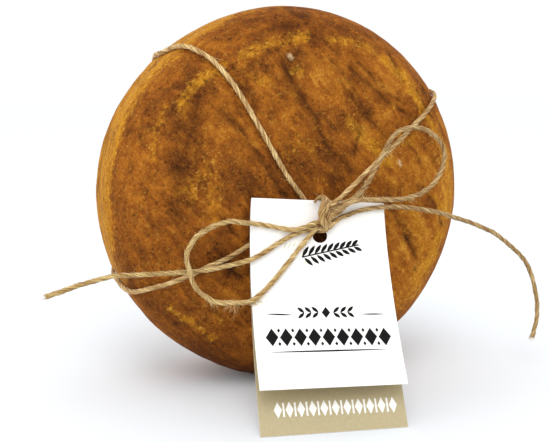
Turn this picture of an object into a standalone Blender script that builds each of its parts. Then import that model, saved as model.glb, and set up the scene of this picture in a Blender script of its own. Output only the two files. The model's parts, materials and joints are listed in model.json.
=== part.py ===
"""A round wheel of provolone standing on its rim, tied with jute twine and hung with a folded card tag.

Metres, +Z up. The origin is the middle of the flat spot that the wheel stands on. The wheel's axis runs
along Y, its front face looks toward -Y, and +X is to the right as the front face is seen.
"""
import math

import bmesh
import bpy
import numpy as np
from mathutils import Matrix, Vector, noise

MM = 0.001

# The cheese
WHEEL_RADIUS = 115.7 * MM
HALF_THICKNESS = 46.7 * MM
EDGE_RADIUS = 37.2 * MM
FLAT_DEPTH = 2.0 * MM
WHEEL_CENTRE = WHEEL_RADIUS - FLAT_DEPTH
BROAD_SWELL = 60.0 * MM
BROAD_DEPTH = 0.45 * MM
DENT_SPACING = 21.0 * MM
DENT_DEPTH = 0.3 * MM
DENT_SHIFT = (3.7, 8.1, 5.3)
TURN_STEPS = 84
FACE_RINGS = 7
EDGE_RINGS = 7
RIND_COLOUR = (0.42, 0.17, 0.03)
RIND_ROUGHNESS = 0.42

# Where the rim is pressed flatter: the angle round the wheel in degrees, then the place along the axis,
# the depth and the reach in millimetres
PRESSED_PLACES = ((128.5, 8.0, 2.1, 46.0), (237.0, 8.0, 1.2, 30.0))

# The twine
TWINE_RADIUS = 1.42 * MM
TWINE_GAP = 0.4 * MM
TWINE_COLOUR = (0.55, 0.40, 0.22)
TWINE_ROUGHNESS = 0.9
WRAP_POINTS = 72
TAUT_ROUNDS = 400
POINT_SPACING = 7.5 * MM
CURVE_PARTS = 12

# The folded card: its fold, and the lower edge of its short front leaf and of its long back leaf,
# each from the left end to the right end
CARD_THICKNESS = 0.5 * MM
FOLD_GAP = 1.2 * MM
FOLD = ((-37.6, -51.3, 118.0), (42.4, -59.8, 112.0))
FRONT_FOOT = ((-53.0, -107.2, 24.8), (26.1, -122.6, 23.7))
BACK_FOOT = ((-54.0, -110.8, 0.4), (25.3, -125.2, 0.4))
BOW_LEFT = 12.0
BOW_RIGHT = 5.0
BOW_DIRECTION = (0.1, 0.83, -0.55)
BOW_SCALE = 3.4
BOW_RISE = 0.75
BOW_FALL = 1.05
HOLE_RADIUS = 4.3 * MM
HOLE_ACROSS = 0.506
HOLE_DOWN = 0.174
PUNCH_LENGTH = 16.0 * MM
PUNCH_SIDES = 20
NEARBY = 0.02
CARD_COLUMNS = 8
CARD_ROWS = 12
ROW_CROWDING = 1.2
CARD_COLOUR = (0.85, 0.84, 0.80)
CARD_ROUGHNESS = 0.6

# Where the two wraps cross, seen along the wheel's axis, and the angles at which each of the four legs
# passes the front edge, the middle and the back edge of the rim
FRONT_CROSSING = (2.5, -8.0)
BACK_CROSSING = (-17.0, 4.0)
UPPER_LEFT_LEG = (125.0, 132.0, 137.0)
LOWER_RIGHT_LEG = (302.5, 300.0, 298.0)
UPPER_RIGHT_LEG = (33.0, 33.3, 35.0)
LOWER_LEFT_LEG = (206.0, 205.2, 204.0)
BACK_HUMP = 3.7 * MM
HUMP_REACH = 11.0 * MM

# Points that the legs of the wraps pass on the front of the wheel, in millimetres, from the middle outward
UPPER_LEFT_PLACES = (
    (-14.6, -48.5, 130.2), (-30.0, -48.5, 156.2), (-42.2, -48.5, 175.8), (-50.6, -46.9, 187.9),
    (-57.8, -40.8, 196.7), (-66.0, -28.0, 203.3), (-72.8, -9.2, 203.3), (-76.8, 4.2, 199.8),
)
UPPER_RIGHT_PLACES = ((67.0, -48.5, 156.3), (75.8, -46.6, 163.1), (85.8, -40.0, 170.4))
LOWER_LEFT_PLACES = (
    (-37.7, -48.5, 90.4), (-49.9, -48.5, 84.2), (-67.8, -48.5, 77.6), (-83.5, -45.5, 71.2),
    (-94.4, -37.7, 66.8), (-102.9, -22.7, 62.0),
)

# Routes of the bow, in millimetres, each from the knot outward
LOWER_LEFT_START = (-0.2, -52.7, 103.4)
UPPER_RIGHT_START = (13.9, -60.8, 117.4)
LEFT_LOOP_ROUTE = (
    (-5.4, -62.0, 102.9), (-9.2, -62.0, 101.6), (-14.7, -60.6, 100.1), (-20.3, -57.8, 100.5),
    (-28.1, -55.9, 102.3), (-36.0, -54.4, 103.7), (-45.1, -57.0, 105.5), (-52.5, -57.5, 106.6),
    (-60.5, -58.0, 105.2), (-66.8, -58.8, 102.8), (-72.2, -59.6, 99.9), (-75.7, -60.6, 96.2),
    (-78.4, -61.7, 92.0), (-79.3, -62.8, 87.4), (-78.0, -64.5, 80.8), (-76.9, -65.8, 75.6),
    (-74.0, -67.5, 70.8), (-69.8, -69.3, 67.2), (-64.7, -71.0, 64.5), (-55.3, -73.2, 64.0),
    (-46.1, -72.8, 63.9), (-37.2, -71.0, 68.6), (-26.1, -67.4, 77.5), (-15.5, -64.0, 87.2),
    (-10.2, -62.7, 92.4), (-5.6, -62.3, 97.1),
)
RIGHT_LOOP_ROUTE = (
    (13.0, -60.8, 113.0), (16.5, -62.8, 114.9), (21.4, -62.0, 116.4), (26.6, -61.0, 120.3),
    (31.0, -60.4, 125.0), (34.2, -59.8, 129.8), (39.6, -58.6, 137.8), (45.5, -56.9, 146.6),
    (49.9, -55.9, 151.6), (53.9, -55.2, 154.5), (58.2, -54.6, 155.8), (62.8, -54.2, 156.4),
    (67.8, -53.9, 156.2), (73.1, -53.6, 154.7), (78.5, -53.4, 151.6), (82.9, -53.2, 148.0),
    (85.6, -53.0, 143.7), (86.7, -52.9, 139.0), (86.2, -52.9, 134.2), (84.5, -53.1, 129.3),
    (81.9, -53.4, 125.1), (77.7, -54.2, 120.8), (72.2, -55.2, 118.0), (65.5, -56.8, 115.7),
    (52.1, -60.4, 114.3), (34.6, -64.6, 115.7), (22.1, -66.4, 115.9), (15.9, -66.2, 114.3),
    (11.9, -65.2, 111.8),
)
LEFT_TAIL_ROUTE = (
    (-4.9, -60.2, 99.8), (-8.9, -59.8, 98.8), (-15.4, -59.5, 97.0), (-24.6, -59.7, 92.7),
    (-34.5, -60.4, 87.5), (-42.1, -61.2, 84.7), (-47.6, -59.6, 83.1), (-54.0, -57.0, 81.4),
    (-65.6, -54.4, 79.3), (-77.4, -53.0, 78.7), (-90.5, -52.3, 78.7), (-102.9, -52.0, 79.0),
    (-109.2, -51.9, 79.0), (-115.4, -52.0, 79.5), (-122.4, -52.4, 78.8), (-130.4, -53.2, 77.4),
    (-138.7, -54.2, 75.8), (-146.7, -55.5, 73.8), (-154.3, -57.0, 72.3),
)
RIGHT_TAIL_ROUTE = (
    (11.3, -60.5, 106.0), (14.9, -60.4, 107.0), (18.7, -60.4, 107.8), (25.2, -60.7, 109.1),
    (32.8, -61.2, 110.0), (42.1, -62.6, 110.6), (52.5, -61.8, 110.0), (63.2, -60.8, 108.4),
    (77.5, -59.6, 105.5), (90.1, -58.6, 101.6), (104.4, -57.7, 96.8), (113.4, -57.2, 93.1),
    (121.6, -57.0, 89.4), (129.2, -56.8, 84.3), (136.2, -56.6, 78.9), (142.3, -56.6, 73.8),
    (147.3, -56.7, 68.2), (150.8, -56.9, 61.7), (153.4, -57.2, 54.9), (154.9, -57.6, 48.6),
    (156.1, -58.1, 42.2), (156.2, -58.6, 36.1), (155.6, -59.2, 30.2), (152.2, -60.0, 19.1),
)

# The knot: a band of twine round the strip of card between the fold and the hole, each point with the
# band's radius there, over the short bundle in which the strands of the bow come together
BAND_ROUTE = (
    (5.0, -55.6, 117.2, 1.0), (4.4, -58.6, 116.6, 1.1), (3.0, -61.8, 115.2, 1.8), (2.0, -64.2, 112.9, 2.4),
    (1.2, -65.6, 109.4, 2.7), (0.7, -65.9, 105.4, 2.8), (0.9, -65.6, 102.2, 2.6), (1.2, -64.4, 99.8, 1.9),
    (1.5, -61.6, 98.0, 1.4), (1.4, -58.6, 97.0, 1.3), (1.4, -56.0, 97.6, 1.3), (1.6, -54.0, 101.4, 1.3),
    (2.2, -52.8, 106.6, 1.3), (3.0, -52.3, 111.6, 1.2), (4.2, -52.9, 115.8, 1.0),
)
BAND_POINTS = 28
BUNDLE_RADIUS = 2.6 * MM
BUNDLE_ROUTE = ((-3.0, -62.0, 103.0), (2.8, -61.8, 105.5), (8.0, -62.2, 109.2))
BUNDLE_POINTS = 6

SHARP_ANGLE = 40.0
WELD_DISTANCE = 0.01 * MM
MERGE_DISTANCE = 0.05 * MM


def clear_scene():
    for item in list(bpy.data.objects):
        bpy.data.objects.remove(item, do_unlink=True)


def make_collection(name):
    collection = bpy.data.collections.new(name)
    bpy.context.scene.collection.children.link(collection)
    return collection


def make_material(name, colour, roughness):
    material = bpy.data.materials.new(name)
    material.use_nodes = True
    shader = material.node_tree.nodes["Principled BSDF"]
    shader.inputs["Base Color"].default_value = (*colour, 1.0)
    shader.inputs["Roughness"].default_value = roughness
    shader.inputs["Metallic"].default_value = 0.0
    material.diffuse_color = (*colour, 1.0)
    return material


def add_object(name, data, collection, material=None):
    item = bpy.data.objects.new(name, data)
    collection.objects.link(item)
    if material is not None:
        data.materials.append(material)
    return item


def as_mesh_object(item):
    """Replaces an object by its evaluated mesh, with its loose caps welded."""
    bpy.context.view_layer.update()
    evaluated = item.evaluated_get(bpy.context.evaluated_depsgraph_get())
    mesh = bpy.data.meshes.new_from_object(evaluated)
    body = bmesh.new()
    body.from_mesh(mesh)
    bmesh.ops.remove_doubles(body, verts=body.verts, dist=WELD_DISTANCE)
    bmesh.ops.recalc_face_normals(body, faces=body.faces)
    body.to_mesh(mesh)
    body.free()
    name = item.name
    placed = bpy.data.objects.new(name, mesh)
    placed.matrix_world = item.matrix_world.copy()
    for collection in item.users_collection:
        collection.objects.link(placed)
    bpy.data.objects.remove(item, do_unlink=True)
    placed.name = name
    return placed


def apply_boolean(item, other, operation):
    modifier = item.modifiers.new(operation.lower(), "BOOLEAN")
    modifier.operation = operation
    modifier.solver = "EXACT"
    modifier.object = other
    return modifier


def smooth_shading(item):
    item.data.shade_smooth()
    item.data.set_sharp_from_angle(angle=math.radians(SHARP_ANGLE))


# The cheese

def wheel_profile():
    """The half section in the wheel's own frame: (radius, height along the axis), front face first."""
    face_radius = WHEEL_RADIUS - EDGE_RADIUS
    rim_half = HALF_THICKNESS - EDGE_RADIUS
    front = [(face_radius * ring / FACE_RINGS, HALF_THICKNESS) for ring in range(FACE_RINGS)]
    for step in range(EDGE_RINGS + 1):
        angle = math.pi / 2 * (1 - step / EDGE_RINGS)
        front.append((face_radius + EDGE_RADIUS * math.cos(angle), rim_half + EDGE_RADIUS * math.sin(angle)))
    back = [(radius, -height) for radius, height in reversed(front)]
    return front + [(WHEEL_RADIUS, 0.0)] + back


def pressed_depth(points):
    """How much lower the rim lies at each point where the wheel has been pressed flatter."""
    depth = np.zeros(len(points))
    for degrees, along, deepest, reach in PRESSED_PLACES:
        angle = math.radians(degrees)
        middle = np.array((WHEEL_RADIUS * math.cos(angle), along * MM, WHEEL_RADIUS * math.sin(angle)))
        middle[2] += WHEEL_CENTRE
        away = np.linalg.norm(points - middle, axis=1)
        depth += deepest * MM * np.exp(-(away / (reach * MM)) ** 4)
    return depth


def rind_depth(point):
    """How far the rind lies inside the turned form at a point: pressed places, broad swells and dents."""
    broad = noise.noise(Vector(point) / BROAD_SWELL)
    dents = noise.noise(Vector(point) / DENT_SPACING + Vector(DENT_SHIFT))
    pressed = pressed_depth(np.array([point]))[0]
    return pressed + BROAD_DEPTH * (1 + broad) + DENT_DEPTH * (1 + dents)


def make_wheel(collection, cutters, material):
    profile = wheel_profile()
    mesh = bpy.data.meshes.new("wheel_section")
    points = [(radius, 0.0, height) for radius, height in profile]
    mesh.from_pydata(points, [(i, i + 1) for i in range(len(points) - 1)], [])
    turned = add_object("cheese_wheel", mesh, collection)
    screw = turned.modifiers.new("turn", "SCREW")
    screw.axis = "Z"
    screw.steps = TURN_STEPS
    screw.render_steps = TURN_STEPS
    screw.use_merge_vertices = True
    screw.merge_threshold = MERGE_DISTANCE
    turned.matrix_world = Matrix.Translation((0, 0, WHEEL_CENTRE)) @ Matrix.Rotation(math.pi / 2, 4, "X")
    wheel = as_mesh_object(turned)
    wheel.data.transform(wheel.matrix_world)
    wheel.matrix_world = Matrix.Identity(4)
    wheel.data.update()
    moves = [vertex.co - vertex.normal * rind_depth(vertex.co) for vertex in wheel.data.vertices]
    for vertex, place in zip(wheel.data.vertices, moves):
        vertex.co = place

    bpy.ops.mesh.primitive_cube_add(size=2 * WHEEL_RADIUS, location=(0, 0, -WHEEL_RADIUS))
    floor_cutter = bpy.context.object
    floor_cutter.name = "flat_spot_cutter"
    for home in list(floor_cutter.users_collection):
        home.objects.unlink(floor_cutter)
    cutters.objects.link(floor_cutter)
    floor_cutter.hide_render = True
    floor_cutter.display_type = "WIRE"
    apply_boolean(wheel, floor_cutter, "DIFFERENCE")
    wheel.data.materials.append(material)
    smooth_shading(wheel)
    return wheel


# The twine

def evenly_spaced(points, count, closed=False):
    points = np.asarray(points, float)
    if closed:
        points = np.vstack([points, points[:1]])
    steps = np.linalg.norm(np.diff(points[:, :3], axis=0), axis=1)
    lengths = np.concatenate([[0.0], np.cumsum(steps)])
    marks = np.linspace(0.0, lengths[-1], count + 1 if closed else count)
    spaced = np.stack([np.interp(marks, lengths, values) for values in points.T], axis=1)
    return spaced[:-1] if closed else spaced


def smooth_curve(route, closed=False):
    """A smooth curve through every point of a route (Catmull-Rom)."""
    points = np.asarray(route, float)
    if closed:
        padded = np.vstack([points[-1:], points, points[:2]])
    else:
        padded = np.vstack([2 * points[0] - points[1], points, 2 * points[-1] - points[-2]])
    curve = []
    for a, b, c, d in zip(padded[:-3], padded[1:-2], padded[2:-1], padded[3:]):
        for step in range(CURVE_PARTS):
            t = step / CURVE_PARTS
            curve.append(0.5 * (2 * b + (c - a) * t + (2 * a - 5 * b + 4 * c - d) * t * t
                                + (3 * b - a - 3 * c + d) * t ** 3))
    if not closed:
        curve.append(points[-1])
    return np.array(curve)


def lift_off_wheel(points, clearances):
    """Pushes points out along the wheel's surface normal until each has its clearance."""
    face_radius = WHEEL_RADIUS - EDGE_RADIUS
    rim_half = HALF_THICKNESS - EDGE_RADIUS
    x, y, z = points[:, 0], points[:, 1], points[:, 2] - WHEEL_CENTRE
    radius = np.maximum(np.hypot(x, z), 1e-9)
    outward = np.maximum(radius - face_radius, 0.0)
    along = np.maximum(np.abs(y) - rim_half, 0.0)
    reach = np.maximum(np.hypot(outward, along), 1e-9)
    wanted = EDGE_RADIUS + clearances
    scale = np.where(reach < wanted, wanted / reach, 1.0)
    new_radius = np.where(outward > 0, face_radius + outward * scale, radius)
    new_y = np.where(along > 0, np.sign(y) * (rim_half + along * scale), y)
    return np.stack([x * new_radius / radius, new_y, z * new_radius / radius + WHEEL_CENTRE], axis=1)


def rim_points(leg, clearance):
    """Guide points of one leg of a wrap over the rim, from the front face's edge to the back face's."""
    face_radius = WHEEL_RADIUS - EDGE_RADIUS
    rim_half = HALF_THICKNESS - EDGE_RADIUS
    depth = HALF_THICKNESS + clearance
    outer = WHEEL_RADIUS + clearance
    front, middle, back = (math.radians(angle) for angle in leg)
    stations = ((face_radius, -depth, front), (outer, -rim_half, (front + middle) / 2), (outer, 0.0, middle),
                (outer, rim_half, (middle + back) / 2), (face_radius, depth, back))
    return [(radius * math.cos(angle), y, WHEEL_CENTRE + radius * math.sin(angle))
            for radius, y, angle in stations]


def pull_taut(guide, pinned, humps, closed):
    """Relaxes a string round the wheel: pinned points stay, and no point comes nearer than its clearance."""
    points = evenly_spaced(guide, WRAP_POINTS, closed)
    fixed = [int(np.argmin(np.linalg.norm(points - np.array(place), axis=1))) for place in pinned]
    held = np.array(pinned, float)
    for _ in range(TAUT_ROUNDS):
        points[fixed] = held
        clearances = TWINE_RADIUS + TWINE_GAP - pressed_depth(points)
        for place, height in humps:
            away = np.linalg.norm(points - np.array(place), axis=1)
            clearances += height * np.exp(-(away / HUMP_REACH) ** 2)
        before = np.roll(points, 1, axis=0)
        after = np.roll(points, -1, axis=0)
        relaxed = 0.5 * points + 0.25 * (before + after)
        if not closed:
            relaxed[0], relaxed[-1] = points[0], points[-1]
        points = lift_off_wheel(relaxed, clearances)
    points[fixed] = held
    return points


def crossing_point(place, side, clearance):
    return (place[0] * MM, side * (HALF_THICKNESS + clearance), WHEEL_CENTRE + place[1] * MM)


def metres(route):
    return [tuple(value * MM for value in point) for point in route]


def first_wrap():
    """The closed wrap: behind the knot, over the rim at the upper left and round to the lower right."""
    lie = TWINE_RADIUS + TWINE_GAP
    front = crossing_point(FRONT_CROSSING, -1, lie)
    back = crossing_point(BACK_CROSSING, 1, lie)
    outward = metres(UPPER_LEFT_PLACES)
    upper = rim_points(UPPER_LEFT_LEG, lie)
    lower = rim_points(LOWER_RIGHT_LEG, lie)
    guide = [front, *outward, *upper[3:], back, *reversed(lower)]
    return pull_taut(guide, [front, *outward, back, lower[2]], [], closed=True)


def second_wrap():
    """The open wrap: from the back of the knot round the lower left, over the first, to the knot's front."""
    lie = TWINE_RADIUS + TWINE_GAP
    back = crossing_point(BACK_CROSSING, 1, lie + BACK_HUMP)
    outward = metres(LOWER_LEFT_PLACES)
    inward = metres(reversed(UPPER_RIGHT_PLACES))
    lower = rim_points(LOWER_LEFT_LEG, lie)
    upper = rim_points(UPPER_RIGHT_LEG, lie)
    start, end = metres([LOWER_LEFT_START, UPPER_RIGHT_START])
    guide = [start, *outward, *lower[2:], back, *reversed(upper[2:]), *inward, end]
    pinned = [start, *outward, lower[2], back, upper[2], *inward[:2], end]
    return pull_taut(guide, pinned, [(back, BACK_HUMP)], closed=False)


def make_tube(name, points, radii, collection, material, closed=False):
    """A tube along the points, with one radius or with a radius for each point."""
    radii = np.broadcast_to(radii, len(points))
    curve = bpy.data.curves.new(name, "CURVE")
    curve.dimensions = "3D"
    curve.bevel_depth = TWINE_RADIUS
    curve.bevel_resolution = 2
    curve.use_fill_caps = not closed
    spline = curve.splines.new("POLY")
    spline.points.add(len(points) - 1)
    for point, place, radius in zip(spline.points, points, radii):
        point.co = (*place, 1.0)
        point.radius = radius / TWINE_RADIUS
    spline.use_cyclic_u = closed
    spline.use_smooth = True
    return add_object(name, curve, collection, material)


def make_free_strand(name, route, collection, material):
    points = smooth_curve(metres(route))
    length = np.linalg.norm(np.diff(points, axis=0), axis=1).sum()
    return make_tube(name, evenly_spaced(points, round(length / POINT_SPACING) + 1), TWINE_RADIUS,
                     collection, material)


def make_knot(collection, cutters, material):
    band_points = evenly_spaced(smooth_curve(metres(BAND_ROUTE), closed=True), BAND_POINTS,
                               closed=True)
    bundle_points = evenly_spaced(smooth_curve(metres(BUNDLE_ROUTE)), BUNDLE_POINTS)
    band = as_mesh_object(make_tube("twine_knot", band_points[:, :3], band_points[:, 3], collection, material,
                                    closed=True))
    bundle = as_mesh_object(make_tube("knot_bundle", bundle_points, BUNDLE_RADIUS, cutters, material))
    bundle.hide_render = True
    bundle.display_type = "WIRE"
    apply_boolean(band, bundle, "UNION")
    smooth_shading(band)
    return band


# The folded card

def bow_shape(down):
    """How much the card bows back between the fold (0) and its foot (1), with its most near the fold."""
    return BOW_SCALE * down ** BOW_RISE * (1 - down) ** BOW_FALL


def leaf_point(across, down, foot, behind=0.0):
    """A point of a leaf in metres: across 0 to 1 from left to right, down 0 to 1 from fold to foot."""
    back = Vector(BOW_DIRECTION).normalized()
    top = Vector(FOLD[0]).lerp(Vector(FOLD[1]), across)
    low = Vector(foot[0]).lerp(Vector(foot[1]), across)
    bow = BOW_LEFT + (BOW_RIGHT - BOW_LEFT) * across
    place = top.lerp(low, down) + back * (bow * bow_shape(down))
    return place * MM + back * behind


def card_rows():
    """Rows of points from the front leaf's foot over the fold to the back leaf's foot, at mid thickness."""
    spacing = [(step / CARD_ROWS) ** ROW_CROWDING for step in range(CARD_ROWS + 1)]
    columns = [step / CARD_COLUMNS for step in range(CARD_COLUMNS + 1)]
    half = CARD_THICKNESS / 2
    rows = [[leaf_point(across, down, FRONT_FOOT, half) for across in columns] for down in reversed(spacing)]
    crease = Vector((0, 0, FOLD_GAP / 2))
    rows.append([leaf_point(across, 0, FRONT_FOOT, half + FOLD_GAP / 2) + crease for across in columns])
    for down in spacing:
        settle = half + FOLD_GAP * (1 - down)
        rows.append([leaf_point(across, down, BACK_FOOT, settle) for across in columns])
    return rows


def make_card(collection, cutters, material):
    sheet = bmesh.new()
    grid = [[sheet.verts.new(point) for point in row] for row in card_rows()]
    for upper, lower in zip(grid[:-1], grid[1:]):
        for column in range(CARD_COLUMNS):
            sheet.faces.new((upper[column], upper[column + 1], lower[column + 1], lower[column]))
    mesh = bpy.data.meshes.new("hang_tag")
    sheet.to_mesh(mesh)
    sheet.free()
    card = add_object("hang_tag", mesh, collection, material)
    shell = card.modifiers.new("card", "SOLIDIFY")
    shell.thickness = CARD_THICKNESS
    shell.offset = 0.0

    centre = leaf_point(HOLE_ACROSS, HOLE_DOWN, FRONT_FOOT)
    below = leaf_point(HOLE_ACROSS, HOLE_DOWN + NEARBY, FRONT_FOOT)
    beside = leaf_point(HOLE_ACROSS + NEARBY, HOLE_DOWN, FRONT_FOOT)
    facing = (beside - centre).cross(below - centre).normalized()
    punch_mesh = bpy.data.meshes.new("hole_punch")
    punch_body = bmesh.new()
    bmesh.ops.create_cone(punch_body, cap_ends=True, segments=PUNCH_SIDES, radius1=HOLE_RADIUS,
                          radius2=HOLE_RADIUS, depth=PUNCH_LENGTH)
    punch_body.to_mesh(punch_mesh)
    punch_body.free()
    punch = add_object("hole_punch", punch_mesh, cutters)
    punch.matrix_world = Matrix.Translation(centre) @ facing.to_track_quat("Z", "X").to_matrix().to_4x4()
    punch.hide_render = True
    punch.display_type = "WIRE"
    apply_boolean(card, punch, "DIFFERENCE")
    return card


def build():
    clear_scene()
    parts = make_collection("provolone_wheel")
    cutters = make_collection("cutters")
    rind = make_material("rind", RIND_COLOUR, RIND_ROUGHNESS)
    jute = make_material("jute_twine", TWINE_COLOUR, TWINE_ROUGHNESS)
    card = make_material("card", CARD_COLOUR, CARD_ROUGHNESS)

    make_wheel(parts, cutters, rind)
    make_tube("twine_wrap_first", first_wrap(), TWINE_RADIUS, parts, jute, closed=True)
    make_tube("twine_wrap_second", second_wrap(), TWINE_RADIUS, parts, jute)
    make_free_strand("bow_loop_left", LEFT_LOOP_ROUTE, parts, jute)
    make_free_strand("bow_loop_right", RIGHT_LOOP_ROUTE, parts, jute)
    make_free_strand("bow_tail_left", LEFT_TAIL_ROUTE, parts, jute)
    make_free_strand("bow_tail_right", RIGHT_TAIL_ROUTE, parts, jute)
    make_knot(parts, cutters, jute)
    make_card(parts, cutters, card)


build()
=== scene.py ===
import json
import math
import random

import bmesh
import bpy
import numpy as np
from mathutils import Matrix, Vector, kdtree, noise
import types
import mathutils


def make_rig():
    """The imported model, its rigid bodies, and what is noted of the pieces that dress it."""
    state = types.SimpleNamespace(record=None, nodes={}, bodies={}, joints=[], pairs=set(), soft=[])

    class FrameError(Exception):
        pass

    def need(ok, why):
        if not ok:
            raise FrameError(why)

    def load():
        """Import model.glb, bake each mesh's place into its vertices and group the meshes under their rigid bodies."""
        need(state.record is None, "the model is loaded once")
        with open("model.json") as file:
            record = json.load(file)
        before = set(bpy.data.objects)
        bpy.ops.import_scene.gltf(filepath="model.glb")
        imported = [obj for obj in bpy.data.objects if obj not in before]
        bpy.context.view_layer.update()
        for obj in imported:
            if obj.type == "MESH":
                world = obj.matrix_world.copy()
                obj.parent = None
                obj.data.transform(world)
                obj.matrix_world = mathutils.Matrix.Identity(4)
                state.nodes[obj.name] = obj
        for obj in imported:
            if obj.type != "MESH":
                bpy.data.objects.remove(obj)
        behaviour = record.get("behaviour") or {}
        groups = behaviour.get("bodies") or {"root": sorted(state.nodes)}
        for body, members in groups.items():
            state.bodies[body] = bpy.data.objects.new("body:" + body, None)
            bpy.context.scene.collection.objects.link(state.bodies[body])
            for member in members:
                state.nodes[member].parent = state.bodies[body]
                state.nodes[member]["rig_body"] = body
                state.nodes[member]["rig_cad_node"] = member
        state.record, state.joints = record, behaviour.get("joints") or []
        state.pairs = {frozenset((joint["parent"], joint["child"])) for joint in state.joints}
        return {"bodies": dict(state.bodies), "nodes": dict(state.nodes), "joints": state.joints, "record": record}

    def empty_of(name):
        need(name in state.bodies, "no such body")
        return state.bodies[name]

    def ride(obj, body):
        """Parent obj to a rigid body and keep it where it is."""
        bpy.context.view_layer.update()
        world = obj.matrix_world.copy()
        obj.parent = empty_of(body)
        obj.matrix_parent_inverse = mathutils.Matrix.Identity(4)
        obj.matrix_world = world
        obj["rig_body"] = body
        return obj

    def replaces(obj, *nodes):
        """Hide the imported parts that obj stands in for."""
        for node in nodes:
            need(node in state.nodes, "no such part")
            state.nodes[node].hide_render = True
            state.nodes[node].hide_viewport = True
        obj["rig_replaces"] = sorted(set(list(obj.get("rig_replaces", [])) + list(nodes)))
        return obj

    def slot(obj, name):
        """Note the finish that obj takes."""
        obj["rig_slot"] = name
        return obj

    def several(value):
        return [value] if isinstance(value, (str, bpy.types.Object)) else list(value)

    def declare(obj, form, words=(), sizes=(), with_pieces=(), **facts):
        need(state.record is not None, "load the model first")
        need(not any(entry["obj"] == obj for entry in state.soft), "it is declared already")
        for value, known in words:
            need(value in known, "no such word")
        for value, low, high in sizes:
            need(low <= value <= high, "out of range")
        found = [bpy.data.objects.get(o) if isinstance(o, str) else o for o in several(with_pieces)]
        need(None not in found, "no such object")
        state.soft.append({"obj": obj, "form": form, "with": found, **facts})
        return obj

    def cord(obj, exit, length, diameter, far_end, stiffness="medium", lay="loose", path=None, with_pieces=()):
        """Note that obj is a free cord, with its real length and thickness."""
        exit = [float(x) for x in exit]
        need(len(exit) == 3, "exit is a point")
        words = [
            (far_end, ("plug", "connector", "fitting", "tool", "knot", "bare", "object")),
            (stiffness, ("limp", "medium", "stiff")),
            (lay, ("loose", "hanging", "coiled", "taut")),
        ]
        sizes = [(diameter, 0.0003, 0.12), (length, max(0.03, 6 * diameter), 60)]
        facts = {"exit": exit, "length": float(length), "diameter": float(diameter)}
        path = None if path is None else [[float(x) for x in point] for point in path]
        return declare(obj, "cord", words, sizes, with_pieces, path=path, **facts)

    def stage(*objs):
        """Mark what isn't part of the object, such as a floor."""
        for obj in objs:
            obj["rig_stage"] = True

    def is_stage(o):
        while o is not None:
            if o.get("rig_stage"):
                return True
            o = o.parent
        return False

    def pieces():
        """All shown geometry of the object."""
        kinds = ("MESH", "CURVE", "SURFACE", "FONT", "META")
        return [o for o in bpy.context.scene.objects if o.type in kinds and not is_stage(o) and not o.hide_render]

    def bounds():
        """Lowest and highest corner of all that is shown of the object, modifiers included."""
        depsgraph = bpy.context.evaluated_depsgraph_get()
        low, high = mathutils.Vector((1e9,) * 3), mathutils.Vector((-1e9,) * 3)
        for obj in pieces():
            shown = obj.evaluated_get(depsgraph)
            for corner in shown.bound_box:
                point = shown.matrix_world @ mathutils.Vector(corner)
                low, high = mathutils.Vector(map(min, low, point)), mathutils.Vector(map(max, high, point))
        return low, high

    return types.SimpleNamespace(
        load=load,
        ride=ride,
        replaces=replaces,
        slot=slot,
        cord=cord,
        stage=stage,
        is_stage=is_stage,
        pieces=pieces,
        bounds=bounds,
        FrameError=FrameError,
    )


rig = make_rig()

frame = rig.load()
cad_low, cad_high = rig.bounds()

scene = bpy.context.scene
MM = 0.001


# The view: a camera with a short telephoto lens stands half a metre in front of the wheel, a little to the
# left of it and just above its middle, so that the left side of the rim shows.
CAMERA_PLACE = (-0.20519, -0.53204, 0.18756)
CAMERA_AIM = (-0.0047, -0.0010, 0.0956)
CAMERA_LENS = 59.2


def aim(thing, place, at):
    """Puts a camera or a light in the scene at one place, turned to look at another."""
    scene.collection.objects.link(thing)
    thing.location = place
    thing.rotation_euler = (Vector(at) - Vector(place)).to_track_quat("-Z", "Y").to_euler()


camera = bpy.data.objects.new("camera", bpy.data.cameras.new("camera"))
camera.data.lens = CAMERA_LENS
aim(camera, CAMERA_PLACE, CAMERA_AIM)
scene.camera = camera


# The bow: soft jute twine about 3 mm thick, three plies laid together with a loose twist and left hairy.
# Two loops and two cut tails come out of the knot and hang free, stiff enough to stand off the cheese.
TWINE_RADIUS = 1.42 * MM
PLIES = 3
PLY_RADIUS = 0.76
PLY_OFFSET = 0.24
TWIST_PITCH = 19 * MM
RING_POINTS = 18
RING_SPACING = 0.7 * MM
THICK_AND_THIN = 0.16
THICKNESS_SPACING = 6 * MM
FIBRE_RELIEF = 0.28 * MM
RIDGES_ROUND = 2.4
RIDGES_ALONG = 160
SEED_SHIFT = 37.0
FIBRE_RADII = (0.06 * MM, 0.12 * MM)
FIBRE_STEPS = 4
FIBRE_CURL = 0.35
FIBRE_LIFT = (0.15, 0.75)
FIBRE_TAPER = 0.7
HAIR_SPREAD = 0.5
LONG_HAIRS = 0.12
LONG_HAIR = 0.85
LONGEST_HAIR = 7.0
HAIR_ROOT, TUFT_ROOT = 0.8, 0.6
TUFT_SPREAD, TUFT_LIFT = 2.2, 0.3
TUFT_SLANT, TUFT_SHARES = (-0.2, 0.6), (0.35, 1.0)
BRUSH_FIBRES, BRUSH_LIFT = 26, 0.6
BRUSH_LENGTHS = (1.2, 3.0)
CUT_END_FLARE = 0.16
CUT_END_LENGTH = 4 * MM

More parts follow.
